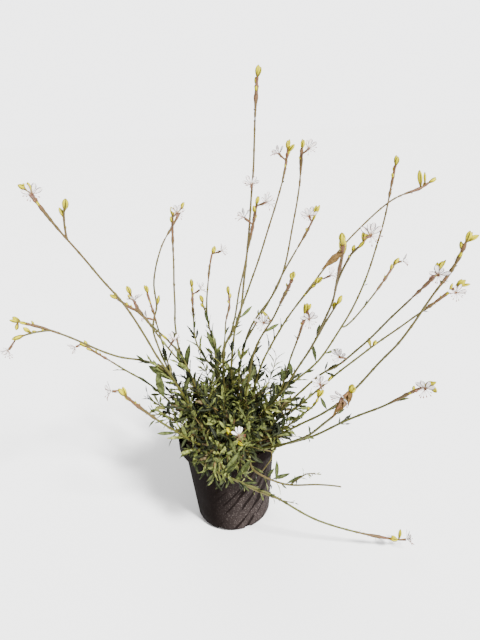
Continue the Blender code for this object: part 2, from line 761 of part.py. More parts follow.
def grow_stems(registry, pieces, bases):
    """Every stem and side branch, as tubes that end in a bud. Returns their centre lines by node."""
    lines = {}
    for name, route in {**FLOWER_STEMS, **LEAFY_SHOOTS}.items():
        lines[name] = [stem_line(bases[name], route)]
    for name, share, route in BRANCHES:
        main_line = lines[name][0]
        start, _ = at_distance(main_line, share * length_of(main_line))
        lines[name].append(smooth_route([start] + [metres(point) for point in route]))
    for name, node_lines in lines.items():
        for line in node_lines:
            stem = tube(*with_bud(line))
            registry.add(name, stem)
            pieces[name].append(stem)
    return lines


def grow_listed(registry, pieces, lines):
    """The large leaves and side buds that are listed one by one, from the nearest point of their stem."""
    for table, make, up in ((LEAVES, large_leaf, TO_VIEWER), (BUDS, bud, UP)):
        for owner, foot, tip in table:
            origin = nearest_point(lines[owner], metres(foot))
            reach = metres(tip) - origin
            bm = make(reach.length)
            bmesh.ops.transform(bm, matrix=axes(origin, reach, up), verts=bm.verts)
            registry.add(owner, bm)
            pieces[owner].append(bm)


def grow_blooms(registry, pieces, lines):
    """Each bloom in front of the slim tube that carries it, which belongs to its stem."""
    blooms = {}
    for index, (owner, place) in enumerate(BLOOMS, start=1):
        centre = metres(place)
        root = nearest_point(lines[owner], centre - UP * TUBE_DROP)
        reach = centre - root
        carrier = spike(TUBE_RADIUS * 0.8, TUBE_RADIUS * 1.2, reach.length, 3)
        bmesh.ops.transform(carrier, matrix=axes(root, reach, UP), verts=carrier.verts)
        registry.add(owner, carrier)
        pieces[owner].append(carrier)
        name = f"bloom_{index:02d}"
        blooms[name] = bloom_pieces(centre, reach.normalized())
        for piece in blooms[name]:
            registry.add(name, piece)
    return blooms


def grow_foliage(registry, pieces, lines):
    """Side buds, tufts in the mound and lone leaves above it, each clear of the other nodes."""
    rng = random.Random(SEED)
    for name in FLOWER_STEMS:
        for line in lines[name]:
            pieces[name] += grow_buds(registry, name, line, rng, 1)
    for name in LEAFY_SHOOTS:
        for line in lines[name]:
            pieces[name] += grow_leaves(registry, name, line, rng, SHOOT_TUFTS, leaf_tuft)
    for name in FLOWER_STEMS:
        for rule, make in ((STEM_TUFTS, leaf_tuft), (STEM_LEAVES, lone_leaf)):
            pieces[name] += grow_leaves(registry, name, lines[name][0], rng, rule, make)


def main():
    clear_scene()
    parts = new_collection("potted_gaura")
    cutters = new_collection("cutters")
    bases = stem_bases({**FLOWER_STEMS, **LEAFY_SHOOTS})
    make_pot(parts, cutters)
    make_soil(parts, cutters, bases)

    registry = Registry()
    pieces = {name: [] for name in bases}
    lines = grow_stems(registry, pieces, bases)
    grow_listed(registry, pieces, lines)
    blooms = grow_blooms(registry, pieces, lines)
    register_holder(registry)
    grow_foliage(registry, pieces, lines)

    stem_green = new_material("stem_green", (0.16, 0.19, 0.06), 0.6)
    leaf_green = new_material("leaf_green", (0.12, 0.17, 0.06), 0.65)
    petal_white = new_material("petal_white", (0.85, 0.80, 0.78), 0.5)
    for name in FLOWER_STEMS:
        fuse(name, pieces[name], parts, stem_green)
    for name in LEAFY_SHOOTS:
        fuse(name, pieces[name], parts, leaf_green)
    for name, bloom in blooms.items():
        fuse(name, bloom, parts, petal_white)


main()
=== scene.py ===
import json
import math
import random

import bmesh
import bpy
import numpy as np
from mathutils import Matrix, Vector, noise

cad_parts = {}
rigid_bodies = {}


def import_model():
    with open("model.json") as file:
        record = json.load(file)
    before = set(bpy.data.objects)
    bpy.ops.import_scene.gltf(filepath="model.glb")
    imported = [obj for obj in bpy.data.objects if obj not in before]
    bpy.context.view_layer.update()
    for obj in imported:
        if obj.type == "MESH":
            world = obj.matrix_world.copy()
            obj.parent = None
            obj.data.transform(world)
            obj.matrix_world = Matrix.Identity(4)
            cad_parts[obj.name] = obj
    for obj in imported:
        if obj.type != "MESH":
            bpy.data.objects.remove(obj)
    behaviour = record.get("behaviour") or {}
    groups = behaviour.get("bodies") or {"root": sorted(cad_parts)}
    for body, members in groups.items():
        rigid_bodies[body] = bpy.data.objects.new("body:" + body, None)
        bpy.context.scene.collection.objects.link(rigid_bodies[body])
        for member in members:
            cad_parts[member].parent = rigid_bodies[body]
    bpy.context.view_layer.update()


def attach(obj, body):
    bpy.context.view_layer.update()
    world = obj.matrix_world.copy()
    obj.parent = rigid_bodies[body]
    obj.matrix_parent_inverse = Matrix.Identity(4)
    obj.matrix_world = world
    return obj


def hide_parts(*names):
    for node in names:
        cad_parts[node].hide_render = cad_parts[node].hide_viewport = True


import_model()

MM = 0.001
UP = Vector((0.0, 0.0, 1.0))
TO_VIEWER = Vector((0.0, -0.93, 0.36))
GOLDEN_ANGLE = math.radians(137.5)
SHAPE_SEED = 3
STEM_SEED = 11
BLOOM_SEED = 23
CRUMB_SEED = 5
# Without a seed of its own, noise_vector moves its pattern by a new offset in each run.
NOISE_SEED = 5

# Pot and soil
POT_HEIGHT = 0.155
RIM_RADIUS = 0.0825
COLLAR_DEPTH = 0.018
COLLAR_STEP = 0.009
BASE_RADIUS = 0.061
WALL = 0.0018
CORNER = 0.010
# How round the collar's lower edge is outside, and how round the corner under it
LEDGE_ROUND = 0.0012
UNDER_ROUND = 0.0015
# How far under the collar the side's straight part starts, and half the height of the bend inside it
UNDER_END = 0.004
COLLAR_BEND = 0.001
OUT_OF_ROUND = 0.00025
MOULD_SEAM = 0.0003
DRAIN_HOLES = 8
DRAIN_INSET = 0.006
DRAIN_SIZE = (0.020, 0.012, 0.016)
SOIL_LEVEL = 0.136
SOIL_EDGE = 0.004
SOIL_RINGS = 26
SOIL_LUMP = 0.0018
SOIL_LUMP_SCALE = 110.0
# The lumps' noise: how fast it falls off, how much finer each octave is, and how many octaves
SOIL_LUMP_NOISE = (0.8, 2.0, 4)
CRUMB_SPACING = 0.0034
CRUMB_SIZE = 0.0075
CRUMB_SIZES = (0.35, 1.2)
CRUMB_DENSITY = 90000.0
CRUMB_TURN = (6.28, 6.28, 6.28)
CRUMBS_ABOVE = SOIL_LEVEL - 0.0025
GAP = 0.0003
ROUND_SIDES = 128
# How far leaves stay from the pot's wall and from the floor, and from the soil and the collar's lower edge
WALL_CLEARANCE = 0.0008
SOIL_CLEARANCE = 0.002

# Stems
STEM_SIDES = 8
# Their feet: how far apart, how far out an upright stem stands, what a flat one adds, and the furthest out
STEM_SPACING = 0.009
STEM_RING = 0.008
STEM_SPREAD = 0.052
BASE_LIMIT = 0.056
SPREADING_ROUNDS = 80
# How deep a stem stands in its hole, and its straight part above the soil
HOLE_DEPTH = 0.0216
STRAIGHT = 0.003
POINT_EVERY = 0.006
STEM_BASE_RADIUS = 0.0020
STEM_TIP_RADIUS = 0.0013
BRANCH_GIRTH = 0.75
# The nodes of a stem: how far apart they are, how much thicker, and how short the thickening is
NODE_EVERY = 0.027
NODE_SWELLING = 0.28
NODE_SHARPNESS = 5.0
# The small wanderings of a grown stem: how far, how close together, and how high they reach their full size
STIR = 0.0022
STIR_SCALE = 16.0
STIR_FROM_SOIL = 0.04
# Redness starts at this height above the soil and grows over this height to this much.
RED_START = 0.04
RED_HEIGHT = 0.30
RED_MOST = 0.6
# The slim tube that carries a bloom: how far below the bloom it starts, its radius and what its end adds
TUBE_DROP = 0.008
TUBE_RADIUS = 0.0011
TUBE_WIDENING = 0.0008
TUBE_REDNESS = 0.95
TUBE_STEPS = 4
# The flowering end of a stem: its length, how much thicker and redder it is, and how knobbly
SPIKE = 0.056
SPIKE_GIRTH = 1.6
SPIKE_REDNESS = 0.65
SPIKE_KNOBS = 0.65
KNOB_SCALE = 135.0
# The small leaves on it: their length, how many of the places have one, and their lean
SPIKE_BRACT = (0.0065, 0.8, 0.5)

# Each flower stem's route above the soil, as points in millimetres that end at its tip.
FLOWER_STEMS = {
    "flower_stem_01": ((0, 15, 285), (30, 10, 355), (50, 15, 475), (65, 25, 605), (75, 30, 695)),
    "flower_stem_02": ((15, 40, 290), (45, 60, 375), (85, 70, 480), (110, 80, 555), (120, 80, 600)),
    "flower_stem_03": ((35, 45, 290), (95, 60, 385), (125, 75, 495), (140, 85, 600)),
    "flower_stem_04": ((45, -30, 295), (80, -70, 385), (100, -110, 450)),
    "flower_stem_05": (
        (60, 20, 260), (125, 30, 365), (215, 55, 460), (271, 66, 504), (323, 76, 521), (336, 80, 538),
    ),
    "flower_stem_06": ((85, 5, 215), (160, 20, 275), (235, 50, 395), (275, 65, 570)),
    "flower_stem_07": ((105, -50, 280), (140, -100, 380), (146, -165, 474), (138, -180, 509)),
    "flower_stem_08": ((125, 0, 203), (186, -20, 271), (243, -30, 320), (316, -45, 381), (341, -50, 409)),
    "flower_stem_09": (
        (133, -35, 255), (177, -52, 296), (235, -100, 387), (261, -140, 439), (261, -148, 465),
    ),
    "flower_stem_10": (
        (105, -60, 195), (160, -100, 255), (206, -130, 330), (227, -145, 366), (255, -155, 419),
        (274, -160, 456), (287, -165, 501),
    ),
    "flower_stem_11": ((110, -80, 185), (175, -130, 250), (250, -200, 335)),
    "flower_stem_12": ((90, -100, 195), (130, -180, 280), (140, -250, 365)),
    "flower_stem_13": (
        (-56, -62, 168), (-41, -90, 166), (-11, -112, 157), (59, -120, 122), (135, -120, 65),
        (250, -120, 22),
    ),
    "flower_stem_14": ((-55, -70, 190), (-95, -110, 255), (-135, -120, 310)),
    "flower_stem_15": ((-90, -10, 275), (-160, -25, 315), (-225, -40, 360), (-290, -50, 390)),
    "flower_stem_16": ((-120, 20, 235), (-180, 40, 270), (-235, 60, 305)),
    "flower_stem_17": ((-80, -30, 280), (-130, -60, 410), (-185, -85, 515), (-215, -100, 575)),
    "flower_stem_18": ((-58, 12, 272), (-84, 25, 312), (-108, 32, 334), (-129, 38, 364), (-142, 45, 400)),
    "flower_stem_19": (
        (-88, 38, 243), (-113, 64, 302), (-113, 76, 328), (-107, 86, 350), (-110, 104, 389),
        (-97, 125, 436), (-75, 140, 471), (-50, 150, 511),
    ),
    "flower_stem_20": ((-60, 20, 260), (-72, 32, 327), (-70, 40, 375), (-62, 48, 488), (-61, 50, 513)),
    "flower_stem_21": ((-15, 60, 245), (-17, 76, 281), (-26, 92, 325), (-20, 118, 381), (-5, 140, 434)),
}

# Side branches: the stem, the share of its length where the branch leaves, and the branch's own route.
BRANCHES = (
    ("flower_stem_01", 0.36, ((30, -10, 390), (65, -20, 535))),
    ("flower_stem_03", 0.36, ((67, 28, 350), (95, 8, 410), (135, 0, 480), (150, 0, 515))),
    ("flower_stem_05", 0.38, ((127, 14, 375), (155, 0, 405))),
    ("flower_stem_06", 0.50, ((209, 40, 321), (251, 62, 358), (295, 90, 405))),
    ("flower_stem_07", 0.30, ((98, -48, 296), (109, -70, 347), (116, -86, 378), (123, -98, 404))),
    ("flower_stem_07", 0.55, ((150, -108, 398), (156, -116, 418))),
    ("flower_stem_07", 0.80, ((156, -168, 485), (166, -172, 495), (170, -176, 513))),
    ("flower_stem_10", 0.16, ((124, -66, 226), (135, -68, 243), (142, -70, 262))),
    ("flower_stem_15", 0.86, ((-263, -58, 370), (-283, -60, 362))),
    ("flower_stem_17", 0.84, ((-174, -90, 537), (-165, -94, 550))),
    ("flower_stem_18", 0.46, ((-119, 14, 359), (-133, 4, 378), (-158, -8, 405))),
    ("flower_stem_19", 0.34, ((-113, 66, 363), (-119, 62, 385))),
    ("flower_stem_21", 0.36, ((-37, 72, 262), (-49, 86, 288), (-50, 102, 321), (-49, 130, 381))),
    ("flower_stem_21", 0.38, ((0, 100, 270), (5, 130, 301), (12, 150, 324), (10, 165, 354))),
    ("flower_stem_21", 0.62, ((-29, 84, 344), (-33, 78, 366))),
    ("leafy_shoot_1", 0.30, ((-34, -50, 186), (-50, -48, 220))),
    ("leafy_shoot_2", 0.30, ((4, -66, 170), (10, -78, 192))),
    ("leafy_shoot_3", 0.30, ((52, -56, 172), (82, -74, 190))),
    ("leafy_shoot_5", 0.30, ((35, 72, 178), (45, 108, 212))),
    ("leafy_shoot_6", 0.30, ((0, 72, 175), (5, 108, 205))),
    ("leafy_shoot_7", 0.30, ((-62, -22, 180), (-98, -30, 215))),
)

# The low leafy shoots of the mound: each one's route above the soil, in millimetres.
LEAFY_SHOOTS = {
    "leafy_shoot_1": ((-44, -66, 172), (-50, -90, 184)),
    "leafy_shoot_2": ((-12, -70, 172), (-20, -88, 180)),
    "leafy_shoot_3": ((28, -72, 172), (44, -90, 182)),
    "leafy_shoot_4": ((85, -25, 185), (125, -35, 225)),
    "leafy_shoot_5": ((65, 60, 190), (90, 90, 240)),
    "leafy_shoot_6": ((-25, 65, 195), (-45, 105, 245)),
    "leafy_shoot_7": ((-80, 5, 180), (-125, 15, 215)),
    "leafy_shoot_8": ((30, -82, 168), (37, -106, 156), (79, -122, 141), (126, -130, 143), (158, -134, 140)),
}

# Each open bloom: the stem it grows on and its centre in millimetres.
BLOOMS = (
    ("flower_stem_01", (57, 8, 545)),
    ("flower_stem_01", (73, -28, 525)),
    ("flower_stem_01", (45, -22, 505)),
    ("flower_stem_02", (103, 74, 580)),
    ("flower_stem_03", (145, 66, 585)),
    ("flower_stem_03", (134, -14, 500)),
    ("flower_stem_05", (165, -6, 412)),
    ("flower_stem_07", (171, -190, 507)),
    ("flower_stem_09", (257, -164, 452)),
    ("flower_stem_08", (324, -66, 395)),
    ("flower_stem_11", (235, -208, 332)),
    ("flower_stem_12", (131, -254, 354)),
    ("flower_stem_13", (261, -122, 24)),
    ("flower_stem_14", (-143, -124, 308)),
    ("flower_stem_15", (-293, -64, 351)),
    ("flower_stem_16", (-243, 56, 298)),
    ("flower_stem_17", (-199, -114, 562)),
    ("flower_stem_19", (-120, 56, 341)),
    ("flower_stem_20", (-52, 28, 509)),
    ("flower_stem_21", (-36, 118, 364)),
    ("flower_stem_21", (5, 128, 427)),
    ("flower_stem_06", (299, 84, 402)),
    ("flower_stem_07", (117, -118, 390)),
    ("leafy_shoot_2", (18, -90, 205)),
    ("flower_stem_18", (-75, 6, 319)),
    ("flower_stem_04", (62, -78, 373)),
    ("flower_stem_09", (167, -70, 311)),
    ("flower_stem_10", (137, -84, 277)),
    ("flower_stem_18", (-128, 20, 383)),
)

# Single large leaves: the stem, where the leaf leaves it, and the leaf's tip.
LEAVES = (
    ("flower_stem_01", (33, 12, 345), (49, 4, 366)),
    ("flower_stem_04", (64, -52, 343), (79, -62, 363)),
    ("flower_stem_06", (144, 14, 266), (143, 10, 294)),
    ("flower_stem_06", (159, 18, 276), (180, 10, 287)),
    ("flower_stem_06", (131, 12, 243), (142, 4, 255)),
    ("flower_stem_07", (100, -45, 273), (100, -52, 299)),
    ("flower_stem_07", (87, -42, 257), (90, -50, 288)),
    ("flower_stem_07", (132, -78, 348), (138, -86, 368)),
    ("flower_stem_10", (146, -90, 239), (135, -94, 260)),
    ("flower_stem_12", (135, -190, 298), (144, -200, 307)),
    ("flower_stem_13", (-11, -112, 157), (18, -112, 186)),
    ("flower_stem_13", (-11, -112, 157), (-23, -117, 150)),
    ("flower_stem_13", (0, -115, 150), (-4, -120, 137)),
    ("flower_stem_13", (6, -118, 145), (33, -116, 178)),
    ("flower_stem_13", (17, -118, 141), (39, -124, 147)),
    ("flower_stem_14", (-68, -88, 213), (-96, -96, 222)),
    ("flower_stem_15", (-84, -5, 254), (-110, -14, 292)),
    ("flower_stem_15", (-105, -12, 284), (-100, -26, 239)),
    ("flower_stem_15", (-119, -20, 295), (-126, -26, 312)),
    ("flower_stem_16", (-123, 22, 235), (-136, 14, 257)),
    ("flower_stem_20", (-54, 18, 269), (-52, 12, 305)),
    ("flower_stem_20", (-74, 26, 309), (-75, 20, 330)),
    ("flower_stem_21", (-18, 72, 264), (-23, 64, 305)),
    ("flower_stem_21", (-25, 86, 311), (-27, 80, 339)),
    ("flower_stem_21", (-32, 70, 255), (-46, 62, 262)),
)

# Leaves of the trailing stems, in the same way. They are too small to have solids of their own.
TRAILING_LEAVES = (
    ("leafy_shoot_8", (60, -117, 144), (85, -124, 161)),
    ("leafy_shoot_8", (67, -118, 142), (72, -122, 176)),
    ("leafy_shoot_8", (74, -120, 140), (81, -126, 135)),
    ("leafy_shoot_8", (80, -122, 141), (102, -130, 158)),
    ("leafy_shoot_8", (54, -114, 147), (65, -120, 165)),
    ("flower_stem_13", (-41, -90, 167), (-32, -100, 156)),
    ("flower_stem_13", (-53, -70, 170), (-49, -92, 144)),
    ("flower_stem_13", (-17, -108, 158), (-28, -112, 171)),
    ("flower_stem_13", (-8, -112, 157), (13, -118, 172)),
    ("flower_stem_13", (14, -118, 139), (29, -124, 134)),
)

# Spent, golden-brown flower parts, in the same way.
SPENT = (
    ("flower_stem_07", (141, -172, 490), (122, -176, 470)),
    ("flower_stem_12", (133, -252, 354), (119, -256, 332)),
    ("flower_stem_12", (132, -252, 353), (136, -256, 344)),
    ("flower_stem_12", (131, -250, 351), (125, -254, 345)),
    ("flower_stem_12", (134, -250, 351), (131, -256, 344)),
)

# Slim twigs without solids of their own: the stem or shoot that each belongs to, and its route.
TWIGS = (
    ("flower_stem_13", ((0, -113, 152), (30, -119, 135), (65, -122, 117), (92, -124, 108))),
    ("leafy_shoot_8", ((88, -123, 141), (101, -127, 154), (111, -129, 162), (123, -130, 161))),
    ("leafy_shoot_3", ((60, -84, 179), (65, -92, 168), (57, -97, 157), (46, -100, 145))),
)

# Large side buds: the stem, where the bud leaves it, and the bud's tip.
BUDS = (
    ("flower_stem_05", (318, 74, 520), (313, 72, 545)),
    ("flower_stem_05", (325, 77, 521), (323, 76, 542)),
    ("flower_stem_07", (145, -170, 482), (143, -174, 503)),
    ("flower_stem_07", (146, -168, 481), (150, -176, 500)),
    ("flower_stem_07", (117, -88, 380), (117, -92, 401)),
    ("flower_stem_08", (223, -26, 302), (217, -30, 322)),
    ("flower_stem_08", (227, -26, 303), (229, -30, 316)),
    ("flower_stem_08", (160, -12, 240), (166, -20, 256)),
    ("flower_stem_08", (338, -50, 393), (349, -54, 401)),
    ("flower_stem_09", (263, -144, 445), (271, -148, 465)),
    ("flower_stem_10", (290, -163, 486), (296, -166, 497)),
    ("flower_stem_12", (139, -240, 351), (143, -246, 360)),
    ("flower_stem_15", (-279, -48, 385), (-284, -50, 374)),
    ("flower_stem_18", (-84, 24, 312), (-92, 20, 326)),
    ("flower_stem_19", (-105, 84, 351), (-99, 78, 370)),
    ("flower_stem_04", (70, -62, 369), (61, -66, 386)),
    ("leafy_shoot_2", (9, -78, 189), (0, -78, 213)),
)

# Side buds beside open blooms, in the same way. They are too small to have solids of their own.
SMALL_BUDS = (
    ("flower_stem_11", (239, -206, 324), (245, -216, 333)),
    ("leafy_shoot_2", (20, -90, 204), (23, -92, 187)),
    ("flower_stem_13", (248, -121, 11), (254, -121, 42)),
    ("flower_stem_13", (247, -121, 11), (238, -121, 30)),
    ("flower_stem_17", (-211, -106, 564), (-215, -108, 574)),
    ("flower_stem_02", (115, 80, 581), (126, 78, 593)),
)

# Mound: short side shoots that fill the space over the soil. Pairs are from and to.
MOUND_SHOOTS = 116
# How far out the last of them stands, how high they rise in the middle and at the edge, how far the last
# one reaches past its foot, and how far they sway
MOUND_FOOT = 0.057
MOUND_TOP = 0.092
MOUND_EDGE = 0.048
MOUND_REACH = 0.053
MOUND_SWAY = 0.02
# The shares of the rise, of the reach and of a leaf's length that occur
MOUND_RISES = (0.65, 1.25)
MOUND_REACHES = (0.6, 1.15)
MOUND_LEAVES = (0.8, 1.15)
# The shares of its reach, rise and sway that a shoot has at its middle
MOUND_MIDDLE = (0.30, 0.62, 0.4)
FOOT_DEPTH = 0.002
# Every so many shoots of the mound, one ends in a large leaf of this length.
BROAD_LEAF_EVERY = 6
BROAD_LEAF_LENGTH = (0.020, 0.028)
BROAD_LEAF_LIFT = 0.5
# Where the black rim shows at the left of the photograph, outer shoots stand higher: from and to, degrees.
BARE_RIM = (165, 232)
BARE_RIM_LIFT = 0.030
# Shoots that hang over the front of the rim: from and to in degrees, and how many.
OVERHANG = (252, 280, 7)
# Their points: distance out, height, what a full drop adds to the first and takes off the second, and sway.
OVERHANG_POINTS = (
    (0.052, SOIL_LEVEL - FOOT_DEPTH, 0.0, 0.0, 0.0),
    (0.074, 0.174, 0.0, 0.0, 0.0),
    (0.096, 0.180, 0.0, 0.010, 0.5),
    (0.108, 0.176, 0.006, 0.022, 1.0),
)
OVERHANG_SWAY = 0.012
OVERHANG_LEAVES = (0.95, 1.2)
# From this far out, leaves hang no lower than a limit. At the front, from and to in degrees, it is lower.
HANGING_START = 0.079
HANGING_LIMIT = 0.166
HANGING = (243, 286)
HANGING_FLOOR = 0.126
# Over the bare stretch of rim, leaves stay out of this height as well, from a little further in.
BARE_LIMIT = 0.190
BARE_START = 0.067
# Where dry bits hang on a shoot of the mound, as shares of its length, and how long they are
DRY_BITS = (0.4, 0.65, 0.9)
DRY_BIT_LENGTH = (0.004, 0.011)
# Leaf length and stem radius of the mound's short shoots, and the same as shares of these elsewhere
SHOOT_LEAF = 0.030
SHOOT_RADIUS = 0.0010
LEAFY_SHOOT_LEAF = 1.05
LEAFY_SHOOT_GIRTH = 1.4
TRAILING_SHOOT_GIRTH = 2.0
TWIG_LEAF = 0.4
TWIG_GIRTH = 1.3
SHOOT_TAPER = 0.45
SHOOT_REDNESS = 0.45
# A shoot's branch skips the bare first part of its leafage.
BRANCH_LEAVES_FROM = 0.1

# What each point of a stem's centre line carries
LINE_FACTS = ("thickness", "leaf_size", "leafiness", "lean", "redness")
# The stem and the shoot that trail over the front of the rim
TRAILING = ("flower_stem_13", "leafy_shoot_8")
# Leaves up a flower stem: height above the soil, leaf length, how many of the places have a leaf, and lean.
STEM_LEAFAGE = (
    (0.000, 0.026, 0.00, 1.1),
    (0.022, 0.030, 0.75, 1.1),
    (0.085, 0.034, 0.70, 0.6),
    (0.120, 0.036, 0.55, 0.4),
    (0.165, 0.032, 0.28, 0.35),
    (0.200, 0.020, 0.12, 0.5),
    (0.260, 0.013, 0.08, 0.7),
    (0.340, 0.006, 0.10, 0.7),
    (9.000, 0.005, 0.08, 0.7),
)
# The same up the flower stem that trails, by the share of its length.
TRAILING_LEAFAGE = (
    (0.00, 0.020, 0.00, 0.9),
    (0.12, 0.024, 0.80, 0.9),
    (0.42, 0.020, 0.80, 0.7),
    (0.52, 0.010, 0.15, 0.5),
    (1.00, 0.005, 0.10, 0.5),
)
# The same up a leafy shoot and up the one that trails, with leaf lengths as shares of the shoot's own.
SHOOT_LEAFAGE = (
    (0.00, 0.8, 0.00, 1.05),
    (0.18, 1.0, 0.90, 1.05),
    (0.60, 1.0, 1.00, 0.85),
    (0.90, 0.80, 1.00, 0.55),
    (1.00, 0.7, 1.00, 0.25),
)
TRAILING_SHOOT_LEAFAGE = (
    (0.00, 0.8, 0.00, 1.0),
    (0.20, 0.9, 0.90, 1.0),
    (0.56, 0.8, 0.90, 0.8),
    (0.62, 0.5, 0.00, 0.6),
    (1.00, 0.3, 0.00, 0.4),
)
# Leaves thin out this far from the pot's middle, over this distance, to this share.
THINNING = (0.085, 0.030, 0.12)
BARE_TIP = 0.03
# A stem is bare where it is this low over the soil and this near its foot, as a share of its length.
BARE_FOOT = (0.012, 0.1)
LEAF_SPACING = 0.0062
LEAN_SPREAD = 0.35
LEAF_TWIST = 1.1
LEAF_SIZES = (0.75, 1.15)
SPIRAL_WANDER = 0.4
# Added to a stem's seed, this keeps its leaves' twist apart from their lean.
TWIST_SEED = 100.0

# The kinds of part that have places of their own on stems and in blooms, in the order of their numbers
STEM_PARTS = ("Bud", "Large leaf", "Spent", "Slim bud")
BUD, LARGE_LEAF, SPENT_PART, SLIM_BUD = range(4)
BLOOM_PARTS = ("Petal", "Sepal", "Stamen")
PETAL, SEPAL, STAMEN = range(3)
# The parts of each kind are numbered from this much further on than those of the kind before.
NUMBERS_APART = 50000

# Buds and blooms
BUD_LENGTH = 0.0160
# A stem ends inside its last bud, at this share of the bud's length from the tip.
BUD_HOLD = 0.94
# Listed buds longer than this are slim.
SLIM_FROM = 0.017
# The buds at a stem's tip: how far below it they stand, their share of a bud's length, and their lean.
BUD_CROWD = ((0.0, 1.0, 0.0), (0.001, 1.05, 0.3), (0.010, 0.8, 0.5), (0.018, 0.55, 0.7), (0.026, 0.4, 0.8))
BUD_MISSING = 0.3
BUD_SIZES = (0.9, 1.1)
SIDE_BUD_LONGEST = 0.95 * BUD_LENGTH
BLOOM_GAP = 0.0012
# Each kind of part in a bloom: its angles round the face and how far they wander, its lean and how far that
# wanders, its length and the shares of it that occur, and how far in front of the tube it starts.
PETAL_FAN = ((78, 27, -27, -78), (-7, 7), -14, (6, -16), 0.0142, (0.9, 1.05), BLOOM_GAP)
SEPAL_FAN = ((45, 135, 225, 315), (-10, 10), 62, (-10, 14), 0.009, (0.8, 1.1), 0.0)
STAMEN_FAN = (range(96, 265, 24), (-8, 8), -48, (-14, 14), 0.0115, (0.8, 1.1), BLOOM_GAP)
OPENNESS = (0.75, 1.0)
# The blooms that are going over, and how far they are open
WILTED = (8, 24)
WILTED_OPENNESS = 0.6

# Outlines of the small parts: stations along a part and its half width or its radius there
LEAF_OUTLINE = (
    (0.0, 0.016), (0.10, 0.022), (0.22, 0.055), (0.33, 0.084), (0.43, 0.103), (0.52, 0.116), (0.60, 0.122),
    (0.68, 0.120), (0.76, 0.108), (0.84, 0.084), (0.92, 0.052), (1.0, 0.006),
)
PETAL_OUTLINE = (
    (0.0, 0.040), (0.10, 0.045), (0.22, 0.065), (0.36, 0.115), (0.50, 0.170), (0.64, 0.205),
    (0.77, 0.205), (0.88, 0.165), (0.96, 0.095), (1.0, 0.030),
)
SEPAL_OUTLINE = ((0.0, 0.06), (0.2, 0.085), (0.5, 0.085), (0.8, 0.05), (1.0, 0.006))
SPENT_OUTLINE = (
    (0.0, 0.040), (0.12, 0.075), (0.25, 0.120), (0.38, 0.145), (0.5, 0.120), (0.62, 0.100), (0.75, 0.060),
    (0.88, 0.034), (1.0, 0.006),
)
BUD_RINGS = (
    (0.0, 0.085), (0.12, 0.095), (0.24, 0.135), (0.38, 0.195), (0.55, 0.225), (0.72, 0.210),
    (0.86, 0.150), (0.95, 0.080), (1.0, 0.020),
)
THREAD_RINGS = ((0.0, 0.020), (0.3, 0.018), (0.6, 0.016), (0.78, 0.014))
ANTHER_RINGS = ((0.80, 0.020), (0.86, 0.052), (0.94, 0.056), (1.0, 0.018))
LEAF_WALL = 0.012
PETAL_WALL = 0.020
SEPAL_WALL = 0.022
SLIM_GIRTH = 0.68
# How broad and how toothed leaves are: from and to
LEAF_BREADTH = (0.65, 1.10)
LEAF_TEETH = (0.06, 0.22)
LARGE_LEAF_BREADTH = (0.72, 1.05)
LARGE_LEAF_TEETH = (0.0, 0.06)
# Which sides of a leaf a smaller one grows on in each tuft
TUFTS = ((1,), (-1,), (1, -1), (-1, 1))
# How full a bud is and how far it bends, how cupped and how rolled a petal is, and how far a stamen bends
BUD_FORMS = ((1.0, 0.05), (0.85, 0.12), (0.7, 0.0), (0.92, -0.08))
PETAL_FORMS = ((0.35, 0.10), (0.7, 0.25), (0.2, 0.0), (1.1, 0.35))
STAMEN_LEANS = (0.22, 0.12, 0.32)
# Where a stamen's thread ends and where its anther starts, on its UV map
THREAD_END = 0.78
ANTHER_START = 0.85
# The length, breadth and thickness of each kind of crumb
CRUMB_FORMS = ((1.0, 0.45, 0.22), (0.8, 0.6, 0.3), (0.5, 0.45, 0.4), (1.3, 0.35, 0.2))

# Leaf colours by tint, from the darkest leaves to the palest: the near-black first stops are painted shade
# and the palest greens are painted highlight, over the leaves' own spread of greens. The last of the narrow
# leaves are dry.
NARROW_LEAF_GREENS_WITH_PAINTED_LIGHT = (
    (0.0, (0.003, 0.004, 0.001)), (0.36, (0.015, 0.019, 0.004)), (0.60, (0.088, 0.102, 0.025)),
    (0.84, (0.218, 0.246, 0.066)), (0.965, (0.258, 0.264, 0.062)), (0.985, (0.120, 0.078, 0.036)),
)
LARGE_LEAF_GREENS = (
    (0.0, (0.020, 0.026, 0.005)), (0.6, (0.044, 0.056, 0.012)), (1.0, (0.125, 0.148, 0.042)),
)

# Studio. How strongly the pale surround lights the plant, and how bright it looks behind it.
SURROUND_LIGHT = 1.0
SURROUND_LOOK = 4.05
FLOOR_HALF = 60.0
# Where each light shines from, its power, and its width in degrees
LIGHTS = {"key": ((0.9, -1.1, 1.5), 13.0, 9.0), "back": ((-0.4, 1.4, 1.6), 1.5, 40.0)}
CAMERA_PLACE = (0.030, -0.705, 0.620)
CAMERA_PITCH = 21.0
CAMERA_ROLL = -3.5
CAMERA_SENSOR = 36.0
CAMERA_LENS = 28.125


def clamp(value, low=0.0, high=1.0):
    return min(max(value, low), high)


def put(name, mesh):
    """Add an object with this mesh to the scene, at the origin."""
    item = bpy.data.objects.new(name, mesh)
    bpy.context.scene.collection.objects.link(item)
    return item


def dress(name, mesh, slot, *nodes):
    """Add a finished piece that stands for the given solids and rides on the plant's one body."""
    piece = put(name, mesh)
    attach(piece, "root")
    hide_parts(*nodes)


def new_mesh(name, bm):
    """The mesh that a bmesh has built."""
    mesh = bpy.data.meshes.new(name)
    bm.to_mesh(mesh)
    bm.free()
    return mesh


# Node trees


